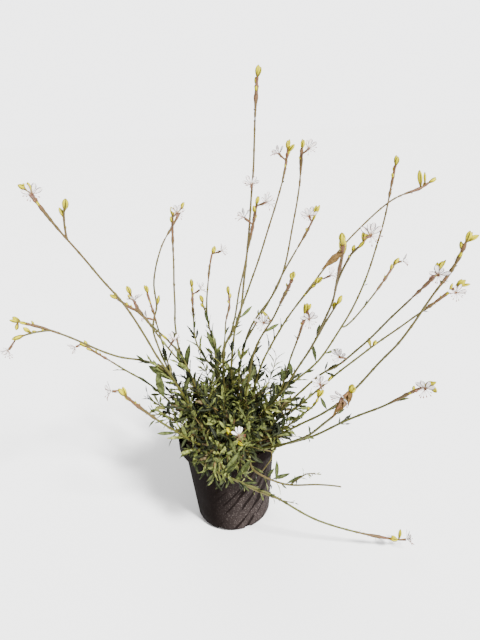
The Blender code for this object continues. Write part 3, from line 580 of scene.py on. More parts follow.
class Wire:
    """An output of a node. Sums, differences and products of wires are Math nodes."""

    def __init__(self, tree, node, name=None):
        self.tree = tree
        self.node = node
        self.socket = pick(node.outputs, name) if name else next(out for out in node.outputs if out.enabled)

    def __getitem__(self, name):
        """The output of the same node that has this name."""
        return Wire(self.tree, self.node, name)

    def __add__(self, other):
        return maths("ADD", self, other)

    def __sub__(self, other):
        return maths("SUBTRACT", self, other)

    def __mul__(self, other):
        return maths("MULTIPLY", self, other)

    def __abs__(self):
        return maths("ABSOLUTE", self)


def pick(sockets, name):
    """A node's socket, by its identifier or its name, with _ for a space."""
    for socket in sockets:
        if socket.enabled and name.replace(" ", "_") in (socket.identifier, socket.name.replace(" ", "_")):
            return socket
    raise KeyError(name)


def add(tree, kind, settings=None, **inputs):
    """Add a node, set its options, set or link its inputs, and give the wire from its first output."""
    node = tree.nodes.new(kind)
    for option, value in (settings or {}).items():
        setattr(node, option, value)
    for name, value in inputs.items():
        socket = pick(node.inputs, name)
        if isinstance(value, Wire):
            tree.links.new(value.socket, socket)
        else:
            socket.default_value = value
    return Wire(tree, node) if node.outputs else node


def maths(operation, *values):
    """A Math node on one, two or three values, the first of them a wire."""
    inputs = dict(zip(("Value", "Value_001", "Value_002"), values))
    return add(values[0].tree, "ShaderNodeMath", {"operation": operation}, **inputs)


# Geometry Nodes trees


def new_tree(name, inputs, kinds):
    """A Geometry Nodes tree with named inputs for its settings and for each kind's shapes and finish."""
    tree = bpy.data.node_groups.new(name, "GeometryNodeTree")
    labels = {"Geometry": "Geometry", **inputs}
    for kind in kinds:
        labels[kind + " shapes"] = "Collection"
        labels[kind + " finish"] = "Material"
    for label, socket in labels.items():
        tree.interface.new_socket(label, in_out="INPUT", socket_type="NodeSocket" + socket)
    tree.interface.new_socket("Geometry", in_out="OUTPUT", socket_type="NodeSocketGeometry")
    return tree, add(tree, "NodeGroupInput")


def close_tree(tree, parts):
    """Join the parts and hand them to the tree's output."""
    joined = add(tree, "GeometryNodeJoinGeometry")
    for part in parts:
        tree.links.new(part.socket, joined.node.inputs[0])
    add(tree, "NodeGroupOutput", Geometry=joined)
    return tree


def named(tree, name, kind="FLOAT"):
    return add(tree, "GeometryNodeInputNamedAttribute", {"data_type": kind}, Name=name)


def scatter(seed, low, high, kind="FLOAT"):
    """A seeded random number for each element."""
    return add(seed.tree, "FunctionNodeRandomValue", {"data_type": kind}, Min=low, Max=high, Seed=seed)


def compared(operation, first, second, kind="FLOAT"):
    """Whether two values compare in this way."""
    settings = {"data_type": kind, "operation": operation}
    return add(first.tree, "FunctionNodeCompare", settings, A=first, B=second)


def coated(geometry, finish):
    """The geometry in a finish."""
    return add(geometry.tree, "GeometryNodeSetMaterial", Geometry=geometry, Material=finish)


def set_out(points, shapes, finish, turn, size, seed, kept=True, first=1):
    """One of the shapes on each kept point, made real, with its own tint and number, in one finish."""
    tree = points.tree
    source = add(
        tree, "GeometryNodeCollectionInfo", Collection=shapes, Separate_Children=True, Reset_Children=True
    )
    parts = add(
        tree, "GeometryNodeInstanceOnPoints", Points=points, Selection=kept, Instance=source,
        Pick_Instance=True, Instance_Index=scatter(seed, 0, 999, "INT"), Rotation=turn, Scale=size,
    )
    number = add(tree, "GeometryNodeInputIndex") + first
    for name, value in (("tint", scatter(seed, 0.0, 1.0)), ("number", number)):
        parts = add(
            tree, "GeometryNodeStoreNamedAttribute", {"data_type": "FLOAT", "domain": "INSTANCE"},
            Geometry=parts, Name=name, Value=value,
        )
    return coated(add(tree, "GeometryNodeRealizeInstances", Geometry=parts), finish)


def stem_tree():
    """Round stems along their centre lines, leaves spiralling up them, and other parts in their places."""
    tree, given = new_tree("leafy_stems", {
        "Stem sides": "Int", "Leaf spacing": "Float", "Lean spread": "Float", "Twist": "Float", "Seed": "Int",
        "Stem finish": "Material", "Places": "Object",
    }, ("Leaf", *STEM_PARTS))
    seed, spread = given["Seed"], given["Lean spread"]
    lines = add(tree, "GeometryNodeMeshToCurve", Mesh=given["Geometry"])
    ring = add(
        tree, "GeometryNodeCurvePrimitiveCircle", {"mode": "RADIUS"},
        Resolution=given["Stem sides"], Radius=1.0,
    )
    stems = add(
        tree, "GeometryNodeCurveToMesh", Curve=lines, Profile_Curve=ring,
        Scale=named(tree, "thickness"), Fill_Caps=True,
    )
    stems = coated(add(tree, "GeometryNodeSetShadeSmooth", Geometry=stems), given["Stem finish"])

    points = add(
        tree, "GeometryNodeCurveToPoints", {"mode": "LENGTH"}, Curve=lines, Length=given["Leaf spacing"]
    )
    kept = compared("LESS_THAN", scatter(seed, 0.0, 1.0), named(tree, "leafiness"))
    index = add(tree, "GeometryNodeInputIndex")
    wander = scatter(seed, -SPIRAL_WANDER, SPIRAL_WANDER)
    spiral = maths("MULTIPLY_ADD", index, GOLDEN_ANGLE, wander)
    lean = named(tree, "lean") + scatter(seed, spread * -1.0, spread)
    twist = scatter(seed + TWIST_SEED, given["Twist"] * -1.0, given["Twist"])
    turned = add(tree, "FunctionNodeAlignRotationToVector", {"axis": "Z"}, Vector=points["Tangent"])
    for axis, angle in (((0.0, 0.0, 1.0), spiral), ((1.0, 0.0, 0.0), lean), ((0.0, 0.0, 1.0), twist)):
        turned = add(
            tree, "FunctionNodeRotateRotation", {"rotation_space": "LOCAL"}, Rotation=turned,
            Rotate_By=add(tree, "FunctionNodeAxisAngleToRotation", Axis=axis, Angle=angle),
        )
    size = named(tree, "leaf_size") * scatter(seed, *LEAF_SIZES)
    leaves = set_out(points, given["Leaf shapes"], given["Leaf finish"], turned, size, seed, kept)

    places = add(tree, "GeometryNodeObjectInfo", Object=given["Places"])["Geometry"]
    return close_tree(tree, [stems, leaves, *sorted_parts(given, places, STEM_PARTS)])


def sorted_parts(given, places, kinds):
    """For each kind of part, its shapes on the places that carry its number."""
    tree = places.tree
    turn = add(tree, "FunctionNodeEulerToRotation", Euler=named(tree, "turn", "FLOAT_VECTOR"))
    parts = []
    for index, kind in enumerate(kinds):
        own = compared("EQUAL", named(tree, "kind", "INT"), index, "INT")
        parts.append(set_out(
            places, given[kind + " shapes"], given[kind + " finish"],
            turn, named(tree, "size"), given["Seed"], own, 1 + (index + 1) * NUMBERS_APART,
        ))
    return parts


def bloom_tree():
    """Petals, sepals and stamens on the places of a bloom, each kind told by the number at its places."""
    tree, given = new_tree("open_bloom", {"Seed": "Int"}, BLOOM_PARTS)
    return close_tree(tree, sorted_parts(given, given["Geometry"], BLOOM_PARTS))


def crumb_tree():
    """Bark and perlite crumbs spread over the top of the soil."""
    tree, given = new_tree("soil_crumbs", {
        "Crumb spacing": "Float", "Crumb size": "Float", "Top above": "Float", "Seed": "Int",
        "Soil finish": "Material",
    }, ("Crumb",))
    seed = given["Seed"]
    height = add(tree, "ShaderNodeSeparateXYZ", Vector=add(tree, "GeometryNodeInputPosition"))["Z"]
    on_top = compared("GREATER_THAN", height, given["Top above"])
    points = add(
        tree, "GeometryNodeDistributePointsOnFaces", {"distribute_method": "POISSON"},
        Mesh=given["Geometry"], Selection=on_top, Distance_Min=given["Crumb spacing"],
        Density_Max=CRUMB_DENSITY, Seed=seed,
    )
    spin = add(tree, "FunctionNodeRandomValue", {"data_type": "FLOAT_VECTOR"}, Max=CRUMB_TURN)
    turn = add(tree, "FunctionNodeEulerToRotation", Euler=spin)
    size = given["Crumb size"] * scatter(seed, *CRUMB_SIZES)
    crumbs = set_out(points, given["Crumb shapes"], given["Crumb finish"], turn, size, seed)
    return close_tree(tree, (coated(given["Geometry"], given["Soil finish"]), crumbs))


def grow(mesh, tree, settings):
    """The plain mesh that a tree makes from this one, with its inputs set by the settings of their names."""
    item = put("growing", mesh)
    modifier = item.modifiers.new(tree.name, "NODES")
    modifier.node_group = tree
    for socket in tree.interface.items_tree:
        if socket.name in settings:
            modifier[socket.identifier] = settings[socket.name]
    graph = bpy.context.evaluated_depsgraph_get()
    made = bpy.data.meshes.new_from_object(
        item.evaluated_get(graph), preserve_all_data_layers=True, depsgraph=graph
    )
    item.modifiers.clear()
    bpy.data.objects.remove(item)
    return made


def shape_box(name, meshes):
    """A collection outside the scene that holds the shapes that a tree picks from."""
    box = bpy.data.collections.new(name)
    for index, mesh in enumerate(meshes):
        box.objects.link(bpy.data.objects.new(f"{name}_{index}", mesh))
    return box


# Finishes


class Finish:
    """A material in the making: its shader, and the wires that its patterns start from."""

    def __init__(self, name, roughness, specular=0.4, subsurface=0.0):
        self.material = bpy.data.materials.new(name)
        self.material.use_nodes = True
        self.tree = self.material.node_tree
        self.shader = self.tree.nodes["Principled BSDF"]
        self.shader.inputs["Roughness"].default_value = roughness
        self.shader.inputs["Specular IOR Level"].default_value = specular
        self.shader.inputs["Subsurface Weight"].default_value = subsurface
        self.place = add(self.tree, "ShaderNodeTexCoord")["Object"]

    def mottle(self, scale, detail=4.0, roughness=0.55, stretch=(1.0, 1.0, 1.0), place=None):
        """Noise at a scale, stretched along an axis where that is wanted."""
        mapped = add(self.tree, "ShaderNodeMapping", Vector=place or self.place, Scale=stretch)
        return add(
            self.tree, "ShaderNodeTexNoise", Vector=mapped, Scale=scale, Detail=detail, Roughness=roughness
        )["Fac"]

    def fact(self, name):
        """A number that each part of the mesh carries."""
        return add(self.tree, "ShaderNodeAttribute", {"attribute_name": name})["Fac"]

    def across_and_along(self):
        """Across and along a leaf, petal, bud or stamen, from its own UV map."""
        uv = add(self.tree, "ShaderNodeUVMap", {"uv_map": "shape"})
        split = add(self.tree, "ShaderNodeSeparateXYZ", Vector=uv)
        return split["X"], split["Y"]

    def close(self, colour, grain, strength, distance, roughness=None):
        """Give the shader its colour, its bump and, where that varies, its roughness."""
        bump = add(self.tree, "ShaderNodeBump", Height=grain, Strength=strength, Distance=distance)
        for wire, name in ((colour, "Base Color"), (bump, "Normal"), (roughness, "Roughness")):
            if wire:
                self.tree.links.new(wire.socket, self.shader.inputs[name])
        return self.material


def ramp(amount, stops):
    """A colour that runs through the stops as the amount goes from 0 to 1."""
    colour = add(amount.tree, "ShaderNodeValToRGB", Fac=amount)
    elements = colour.node.color_ramp.elements
    while len(elements) < len(stops):
        elements.new(0.5)
    for element, (at, stop) in zip(elements, stops):
        element.position = at
        element.color = (*stop, 1.0)
    return colour


def band(amount, low, high):
    """0 at low, 1 at high, and smooth between them."""
    smooth = {"interpolation_type": "SMOOTHSTEP"}
    return add(amount.tree, "ShaderNodeMapRange", smooth, Value=amount, From_Min=low, From_Max=high)


def rough(amount, low, high):
    """Roughness that runs from low to high with the amount."""
    return add(amount.tree, "ShaderNodeMapRange", Value=amount, To_Min=low, To_Max=high)


def mixed(amount, first, second, blend="MIX"):
    """Two colours mixed, each a colour or a wire."""
    first, second = ((*colour, 1.0) if isinstance(colour, tuple) else colour for colour in (first, second))
    settings = {"data_type": "RGBA", "blend_type": blend}
    return add(amount.tree, "ShaderNodeMix", settings, Factor=amount, A=first, B=second)


def leaf_finish(name, greens):
    """Dusty green leaves, each a little different, with pale midribs and side veins."""
    look = Finish(name, 0.5, 0.15)
    across, along = look.across_and_along()
    across = abs(across - 0.5)
    patches = look.mottle(210.0)
    # For the narrow leaves the darkest tints are painted shade and the palest are painted highlight.
    green = ramp(look.fact("tint"), greens)
    ribbed = mixed(band(across, 0.085, 0.02) * 0.45, green, (0.13, 0.16, 0.07))
    shaded = mixed(band(patches, 0.40, 0.62), ribbed, (0.40, 0.43, 0.34), "MULTIPLY")
    dusty = mixed(band(look.mottle(55.0, 3.0), 0.5, 0.8) * 0.22, shaded, (0.13, 0.14, 0.09))
    veins = maths("SINE", along * 62.0 + across * -46.0)
    return look.close(dusty, veins * 0.3 + patches, 0.35, 0.0005, rough(patches, 0.45, 0.75))


def stem_finish():
    """Slim stems, green low down and olive to red-brown higher up, finely streaked along their length."""
    look = Finish("gaura_stem", 0.55, 0.2)
    streaks = look.mottle(40.0, 5.0, 0.6, (22.0, 22.0, 2.0))
    bark = ramp((look.mottle(38.0, 3.0) - 0.5) * 0.9 + look.fact("redness"), (
        (0.0, (0.078, 0.080, 0.015)), (0.4, (0.080, 0.068, 0.017)), (0.72, (0.096, 0.066, 0.022)),
        (1.0, (0.125, 0.060, 0.030)),
    ))
    streaked = mixed(band(streaks, 0.35, 0.7), bark, (0.55, 0.50, 0.42), "MULTIPLY")
    return look.close(streaked, streaks, 0.5, 0.0003, rough(streaks, 0.45, 0.7))


def bud_finish():
    """Ribbed yellow-green buds on brown-pink tubes."""
    look = Finish("gaura_bud", 0.5, 0.12)
    across, along = look.across_and_along()
    grain = look.mottle(300.0)
    skin = ramp((grain - 0.5) * 0.16 + along, (
        (0.0, (0.060, 0.034, 0.010)), (0.20, (0.100, 0.044, 0.012)), (0.30, (0.160, 0.100, 0.006)),
        (0.42, (0.420, 0.350, 0.001)), (0.88, (0.520, 0.460, 0.002)), (1.0, (0.180, 0.105, 0.008)),
    ))
    tinted = mixed(look.fact("tint") * 0.35, skin, (0.15, 0.16, 0.004))
    ridges = maths("SINE", across * (4 * math.tau))
    ribbed = mixed(band(ridges, 0.1, 0.9), tinted, (0.060, 0.052, 0.004))
    return look.close(ribbed, ridges * 0.25 + grain, 0.3, 0.0004)


def petal_finish():
    """White petals with dark brown-red veins and edges, and an orange-brown claw."""
    look = Finish("gaura_petal", 0.5, 0.3, 0.12)
    look.shader.inputs["Subsurface Radius"].default_value = (0.002, 0.0015, 0.0012)
    across, along = look.across_and_along()
    across = across - 0.5
    fan = maths("SINE", across * 44.0)
    blush = look.mottle(160.0)
    white = mixed(band(blush, 0.45, 0.85), (0.90, 0.88, 0.86), (0.86, 0.72, 0.71))
    veined = mixed(band(fan, 0.55, 0.98) * 0.85, white, (0.16, 0.066, 0.055))
    edged = mixed(band(abs(across), 0.26, 0.40) * 0.92, veined, (0.055, 0.021, 0.017))
    clawed = mixed(band(along, 0.45, 0.10) * 0.95, edged, (0.150, 0.070, 0.014))
    return look.close(clawed, fan * 0.3 + blush, 0.35, 0.0004)


def sepal_finish():
    """Narrow sepals, brown at their foot and orange-brown at their tip."""
    look = Finish("gaura_sepal", 0.5, 0.35)
    _, along = look.across_and_along()
    grain = look.mottle(260.0)
    skin = ramp((grain - 0.5) * 0.3 + along, (
        (0.0, (0.110, 0.050, 0.012)), (0.45, (0.160, 0.062, 0.018)), (1.0, (0.220, 0.110, 0.026)),
    ))
    return look.close(skin, grain, 0.3, 0.0003)


def spent_finish():
    """Withered flower parts and dry bits, brown to tan."""
    look = Finish("gaura_spent", 0.6, 0.15)
    crumple = look.mottle(330.0)
    golden = ramp(look.fact("tint"), (
        (0.0, (0.060, 0.036, 0.012)), (0.6, (0.120, 0.070, 0.019)), (1.0, (0.220, 0.145, 0.052)),
    ))
    folded = mixed(band(crumple, 0.35, 0.65), golden, (0.45, 0.38, 0.30), "MULTIPLY")
    return look.close(folded, crumple, 0.4, 0.0004)


def stamen_finish():
    """Brown-pink filaments with red-brown anthers."""
    look = Finish("gaura_stamen", 0.5, 0.3)
    _, along = look.across_and_along()
    grain = look.mottle(500.0)
    thread = mixed(grain, (0.16, 0.070, 0.050), (0.28, 0.16, 0.12))
    anther = mixed(grain, (0.14, 0.04, 0.02), (0.24, 0.09, 0.04))
    return look.close(mixed(band(along, 0.80, 0.84), thread, anther), grain, 0.3, 0.0002)


def pot_finish():
    """Brown-black moulded plastic, dusty and specked low down, paler at the right from dust and painted
    sunlight, with slanting dark strokes of painted stem shadow.
    """
    look = Finish("dusty_black_plastic", 0.7, 0.025)
    broad = look.mottle(22.0, 5.0)
    fine = look.mottle(260.0, 6.0, 0.7)
    specks = band(look.mottle(520.0, 2.0, 0.7), 0.55, 0.68)
    where = add(look.tree, "ShaderNodeSeparateXYZ", Vector=look.place)
    round_pot = maths("ARCTAN2", where["Y"], where["X"])
    unrolled = add(look.tree, "ShaderNodeCombineXYZ", X=round_pot * BASE_RADIUS, Z=where["Z"])
    slanted = add(look.tree, "ShaderNodeMapping", Vector=unrolled, Rotation=(0.0, math.radians(-38.0), 0.0))
    # Slanting dark strokes: painted shadows cast on the pot by the stems.
    painted_stem_shadows = band(look.mottle(120.0, 1.5, 0.4, (1.0, 1.0, 0.11), slanted), 0.55, 0.58)
    # The painted stem shadows are deepest at the front and fade towards the right side.
    stem_shadow_factor = painted_stem_shadows * (band(round_pot, 0.5, -0.5) * -0.55 - 0.35) + 1.0
    # Dust gathers low down. The paler right side is partly dust and partly painted sunlight, and the strokes
    # cut painted shadows into it.
    dust_and_painted_light = band(where["Z"], 0.15, 0.05) * band(where["X"], -0.035, 0.020) * stem_shadow_factor
    plastic = mixed(fine, (0.0014, 0.0006, 0.0004), (0.0048, 0.0022, 0.0016))
    dusted_and_lit = mixed((broad * 0.6 + 0.4) * dust_and_painted_light, plastic, (0.034, 0.026, 0.024))
    speckled = mixed(specks * (dust_and_painted_light * 0.75 + 0.06), dusted_and_lit, (0.105, 0.088, 0.082))
    return look.close(speckled, broad * 0.5 + fine, 0.28, 0.0006, rough(broad, 0.55, 0.9))


def soil_finish():
    """Dark moist peat with paler crumbs."""
    look = Finish("moist_soil", 0.95, 0.2)
    clods = look.mottle(120.0, 8.0, 0.7)
    grit = look.mottle(520.0, 4.0, 0.8)
    peat = mixed(band(clods, 0.3, 0.75), (0.016, 0.010, 0.007), (0.070, 0.042, 0.025))
    gritty = mixed(band(grit, 0.62, 0.8), peat, (0.16, 0.11, 0.07))
    return look.close(gritty, grit * 0.4 + clods, 0.8, 0.002)


def crumb_finish():
    """Bark chips in several browns, with a few white perlite grains."""
    look = Finish("bark_and_perlite", 0.9, 0.2)
    fibre = look.mottle(90.0, 6.0, 0.6, (6.0, 1.0, 1.0))
    chip = ramp(look.fact("tint"), (
        (0.0, (0.030, 0.018, 0.011)), (0.45, (0.085, 0.045, 0.024)), (0.80, (0.170, 0.095, 0.050)),
        (0.95, (0.240, 0.160, 0.095)), (0.97, (0.550, 0.530, 0.490)),
    ))
    fibrous = mixed(band(fibre, 0.4, 0.7), chip, (0.45, 0.42, 0.40), "MULTIPLY")
    return look.close(fibrous, fibre, 0.6, 0.0008)


# Shapes of the small parts, one unit long along +Z, with their upper face towards +Y


def blade_mesh(name, outline, wall, bend, columns=5):
    """A thin closed blade. The outline has (along, half width) stations, and bend gives the heights."""
    bm = bmesh.new()
    uv_layer = bm.loops.layers.uv.new("shape")
    places = {}
    upper, lower = [], []
    for along, half in outline:
        over, under = [], []
        for column in range(columns):
            across = 2.0 * column / (columns - 1) - 1.0
            x = across * half
            y = bend(along, across, x)
            vert = bm.verts.new((x, y, along))
            places[vert] = (column / (columns - 1), along)
            over.append(vert)
            if abs(across) == 1.0:
                under.append(vert)
            else:
                below = bm.verts.new((x, y - wall, along))
                places[below] = places[vert]
                under.append(below)
        upper.append(over)
        lower.append(under)
    for rows in (upper, lower):
        for first, second in zip(rows, rows[1:]):
            for column in range(columns - 1):
                bm.faces.new((first[column], first[column + 1], second[column + 1], second[column]))
    for over, under in ((upper[0], lower[0]), (upper[-1], lower[-1])):
        bm.faces.new([*over, *reversed(under[1:-1])])
    bmesh.ops.recalc_face_normals(bm, faces=bm.faces)
    for face in bm.faces:
        face.smooth = True
        for loop in face.loops:
            loop[uv_layer].uv = places[loop.vert]
    return new_mesh(name, bm)


def turned_mesh(name, rings, sides, lean=0.0):
    """A slim closed round shape from (along, radius) rings, bent over by lean towards its tip."""
    bm = bmesh.new()
    uv_layer = bm.loops.layers.uv.new("shape")
    loops = []
    for along, radius in rings:
        loops.append([])
        for side in range(sides):
            x = radius * math.cos(math.tau * side / sides)
            y = radius * math.sin(math.tau * side / sides) - lean * along ** 2
            loops[-1].append(bm.verts.new((x, y, along)))
    for first, second in zip(loops, loops[1:]):
        for side in range(sides):
            after = (side + 1) % sides
            bm.faces.new((first[side], first[after], second[after], second[side]))
    bm.faces.new(list(reversed(loops[0])))
    bm.faces.new(loops[-1])
    span = rings[-1][0] - rings[0][0]
    for face in bm.faces:
        face.smooth = True
        for loop in face.loops:
            angle = math.atan2(loop.vert.co.y + lean * loop.vert.co.z ** 2, loop.vert.co.x)
            loop[uv_layer].uv = (angle / math.tau + 0.5, (loop.vert.co.z - rings[0][0]) / span)
    return new_mesh(name, bm)


def merged_mesh(name, meshes, moves):
    """Several meshes in one, each moved by its matrix."""
    bm = bmesh.new()
    for mesh, move in zip(meshes, moves):
        before = len(bm.verts)
        bm.from_mesh(mesh)
        bm.verts.ensure_lookup_table()
        bmesh.ops.transform(bm, matrix=move, verts=bm.verts[before:])
    return new_mesh(name, bm)


def leaf_shape(name, rng, breadth, teeth):
    """A leaf: folded along its midrib, arching, wavy and with blunt teeth. The pairs are from and to."""
    fold, arch = rng.uniform(0.15, 0.5), rng.uniform(0.05, 0.35)
    wave, beat, phase = rng.uniform(0.010, 0.028), rng.uniform(9, 15), rng.uniform(0, math.tau)
    broad, tooth, sway = rng.uniform(*breadth), rng.uniform(*teeth), rng.uniform(-0.12, 0.12)
    outline = [
        (along, half * broad * (1 + tooth * (-1) ** station))
        for station, (along, half) in enumerate(LEAF_OUTLINE)
    ]

    def bend(along, across, x):
        return fold * abs(x) - arch * along ** 2 + wave * across * math.sin(beat * along + phase)

    mesh = blade_mesh(name, outline, LEAF_WALL, bend)
    for vert in mesh.vertices:
        vert.co.x += sway * vert.co.z ** 2
    return mesh


def large_leaf_shapes(rng):
    """Broader leaves with hardly any teeth."""
    return [
        leaf_shape(f"large_leaf_{index}", rng, LARGE_LEAF_BREADTH, LARGE_LEAF_TEETH)
        for index in range(6)
    ]


def leaf_shapes(rng):
    """Narrow leaves, and the same with one or two smaller ones from the same axil."""
    singles = [leaf_shape(f"leaf_{index}", rng, LEAF_BREADTH, LEAF_TEETH) for index in range(6)]
    tufts = []
    for index, sides in enumerate(TUFTS):
        meshes, moves = [singles[index]], [Matrix.Identity(4)]
        for side in sides:
            swing = Matrix.Rotation(side * rng.uniform(0.5, 0.9), 4, "Y")
            lift = Matrix.Rotation(rng.uniform(-0.6, -0.2), 4, "X")
            meshes.append(rng.choice(singles))
            moves.append(swing @ lift @ Matrix.Scale(rng.uniform(0.55, 0.80), 4))
        tufts.append(merged_mesh(f"leaf_tuft_{index}", meshes, moves))
    return singles + tufts


def bud_shapes(girth):
    """Buds of different fullness, each on its short tube."""
    meshes = []
    for index, (swell, lean) in enumerate(BUD_FORMS):
        rings = [(along, radius * swell * girth) for along, radius in BUD_RINGS]
        meshes.append(turned_mesh(f"bud_{index}", rings, 10, lean))
    return meshes


def petal_shapes(rng):
    """Spoon-shaped petals: cupped, half rolled and with waved rims."""
    meshes = []
    for index, (cup, roll) in enumerate(PETAL_FORMS):
        wave, phase = rng.uniform(0.015, 0.035), rng.uniform(0, math.tau)
        narrow = 1.0 - 0.3 * roll

        def bend(along, across, x, cup=cup, roll=roll, wave=wave, phase=phase):
            return cup * x * x * 2.0 + roll * along ** 2 * 0.5 + wave * across * math.sin(11 * along + phase)

        outline = [(along, half * narrow) for along, half in PETAL_OUTLINE]
        meshes.append(blade_mesh(f"petal_{index}", outline, PETAL_WALL, bend, 7))
    return meshes


def sepal_shapes():
    """One narrow sepal, folded along its middle and swept back."""

    def bend(along, across, x):
        return 0.5 * abs(x) - 0.28 * along ** 2

    return [blade_mesh("sepal", SEPAL_OUTLINE, SEPAL_WALL, bend, 3)]


def spent_shapes(rng):
    """Withered flower parts: narrow, folded and crumpled."""
    meshes = []
    for index in range(3):
        fold, crumple, phase = rng.uniform(0.5, 1.1), rng.uniform(0.02, 0.05), rng.uniform(0, math.tau)

        def bend(along, across, x, fold=fold, crumple=crumple, phase=phase):
            return fold * abs(x) + crumple * math.sin(17 * along + 3 * across + phase)

        meshes.append(blade_mesh(f"spent_{index}", SPENT_OUTLINE, SEPAL_WALL, bend))
    return meshes


def stamen_shapes():
    """Threads that bend over, each with a long anther across its end."""
    meshes = []
    for index, lean in enumerate(STAMEN_LEANS):
        thread = turned_mesh("thread", THREAD_RINGS, 6, lean)
        anther = turned_mesh("anther", ANTHER_RINGS, 6, lean)
        for loop in anther.uv_layers["shape"].data:
            loop.uv.y = ANTHER_START + loop.uv.y * (1.0 - ANTHER_START)
        for loop in thread.uv_layers["shape"].data:
            loop.uv.y *= THREAD_END
        meshes.append(merged_mesh(f"stamen_{index}", (thread, anther), [Matrix.Identity(4)] * 2))
    return meshes


def crumb_shapes(rng):
    """Flat bark chips and round grains, rough all over."""
    meshes = []
    for index, size in enumerate(CRUMB_FORMS):
        bm = bmesh.new()
        bmesh.ops.create_icosphere(bm, subdivisions=1, radius=0.5)
        for vert in bm.verts:
            vert.co *= rng.uniform(0.75, 1.2)
            vert.co = Vector(a * b for a, b in zip(vert.co, size))
        meshes.append(new_mesh(f"crumb_{index}", bm))
    return meshes


# Stems and their centre lines, as the solids have them


def metres(point):
    return Vector(point) * MM


def stem_bases(routes):
    """Where each stem stands in the soil: out towards its first point, pushed apart to keep clear."""
    places = {}
    for name, route in routes.items():
        out = Vector(route[0][:2]) * MM
        rise = route[-1][2] * MM - SOIL_LEVEL
        reach = Vector(route[-1][:2]).length * MM
        lean = reach / (reach + max(rise, 0.0))
        places[name] = out.normalized() * (STEM_RING + STEM_SPREAD * lean)
    names = list(places)
    for _ in range(SPREADING_ROUNDS):
        for index, name in enumerate(names):
            for other in names[index + 1:]:
                apart = places[other] - places[name]
                short = STEM_SPACING - apart.length
                if short > 0:
                    push = apart.normalized() * short * 0.5
                    places[name] -= push
                    places[other] += push
        for name in names:
            if places[name].length > BASE_LIMIT:
                places[name] = places[name].normalized() * BASE_LIMIT
    return {name: Vector((place.x, place.y, SOIL_LEVEL)) for name, place in places.items()}


def smooth_route(points):
    """A Catmull-Rom curve through the points, read off every few millimetres."""
    before = 3 * points[0] - 3 * points[1] + points[2]
    after = 3 * points[-1] - 3 * points[-2] + points[-3]
    chain = [before, *points, after]
    line = []
    for index in range(1, len(chain) - 2):
        a, b, c, d = chain[index - 1:index + 3]
        pieces = max(1, round((c - b).length / POINT_EVERY))
        for step in range(pieces):
            t = step / pieces
            line.append(
                0.5 * (2 * b + (c - a) * t + (2 * a - 5 * b + 4 * c - d) * t ** 2
                       + (3 * b - a - 3 * c + d) * t ** 3)
            )
    line.append(points[-1].copy())
    return line


def halved(line):
    """The line with a point added in the middle of each of its pieces."""
    middles = [a.lerp(b, 0.5) for a, b in zip(line, line[1:])]
    return [point for pair in zip(line, middles) for point in pair] + [line[-1]]


def length_of(line):
    return sum((b - a).length for a, b in zip(line, line[1:]))


def at_distance(line, left):
    """The point at a distance along the line, and the line's direction there."""
    for a, b in zip(line, line[1:]):
        length = (b - a).length
        if left <= length:
            return a.lerp(b, left / length), (b - a).normalized()
        left -= length
    return line[-1].copy(), (line[-1] - line[-2]).normalized()


def nearest_point(lines, target):
    """The point on any of the lines that lies nearest to the target."""
    best = None
    for line in lines:
        for a, b in zip(line, line[1:]):
            way = b - a
            point = a + way * clamp((target - a).dot(way) / way.length_squared)
            if best is None or (point - target).length < (best - target).length:
                best = point
    return best


def tube_root(lines, centre):
    """Where the slim tube that carries a bloom leaves the stem."""
    return nearest_point(lines, centre - UP * TUBE_DROP)


def axes(origin, along, up):
    """A frame at origin whose Y runs along the piece and whose Z lies as near to up as it can."""
    y = along.normalized()
    x = y.cross(up).normalized()
    return Matrix.Translation(origin) @ Matrix((x, y, x.cross(y))).transposed().to_4x4()


def standing(origin, along, roll):
    """A frame whose Z runs along the part, turned round it by roll."""
    quaternion = along.to_track_quat("Z", "Y")
    return Matrix.Translation(origin) @ quaternion.to_matrix().to_4x4() @ Matrix.Rotation(roll, 4, "Z")


def facing_viewer(origin, along):
    """A frame whose Z runs along the part and whose Y lies as near to the viewer as it can."""
    z = along.normalized()
    x = TO_VIEWER.cross(z).normalized()
    return Matrix.Translation(origin) @ Matrix((x, z.cross(x), z)).transposed().to_4x4()


def stirred(line):
    """The line with the small wanderings of a grown stem, which fade out at the soil."""
    return [
        point + noise.noise_vector(point * STIR_SCALE) * STIR
        * clamp((point.z - SOIL_LEVEL) / STIR_FROM_SOIL)
        for point in line
    ]


def stem_lines():
    """For each flower stem and leafy shoot, its centre line and then those of its branches."""
    routes = {**FLOWER_STEMS, **LEAFY_SHOOTS}
    lines = {}
    for name, base in stem_bases(routes).items():
        route = smooth_route([base + UP * STRAIGHT, *map(metres, routes[name])])
        lines[name] = [[base - UP * HOLE_DEPTH, *route]]
    for name, share, route in BRANCHES:
        stem = lines[name][0]
        start, _ = at_distance(stem, share * length_of(stem))
        lines[name].append(smooth_route([start, *map(metres, route)]))
    return {name: [stirred(line) for line in group] for name, group in lines.items()}


def step_between(rows, at):
    """The values of a table of rows at a place, on a straight line between the rows round it."""
    at = clamp(at, rows[0][0], rows[-1][0])
    for low, high in zip(rows, rows[1:]):
        if at <= high[0]:
            share = (at - low[0]) / (high[0] - low[0])
            return [a + (b - a) * share for a, b in zip(low[1:], high[1:])]


def swelling(distance):
    """A stem is a little thicker at each of its nodes."""
    off = abs((distance / NODE_EVERY) % 1.0 - 0.5) * 2.0
    return 1.0 + NODE_SWELLING * max(0.0, 1.0 - (1.0 - off) * NODE_SHARPNESS)


def distances(points):
    """How far along the line each of its points is."""
    done = [0.0]
    for a, b in zip(points, points[1:]):
        done.append(done[-1] + (b - a).length)
    return done


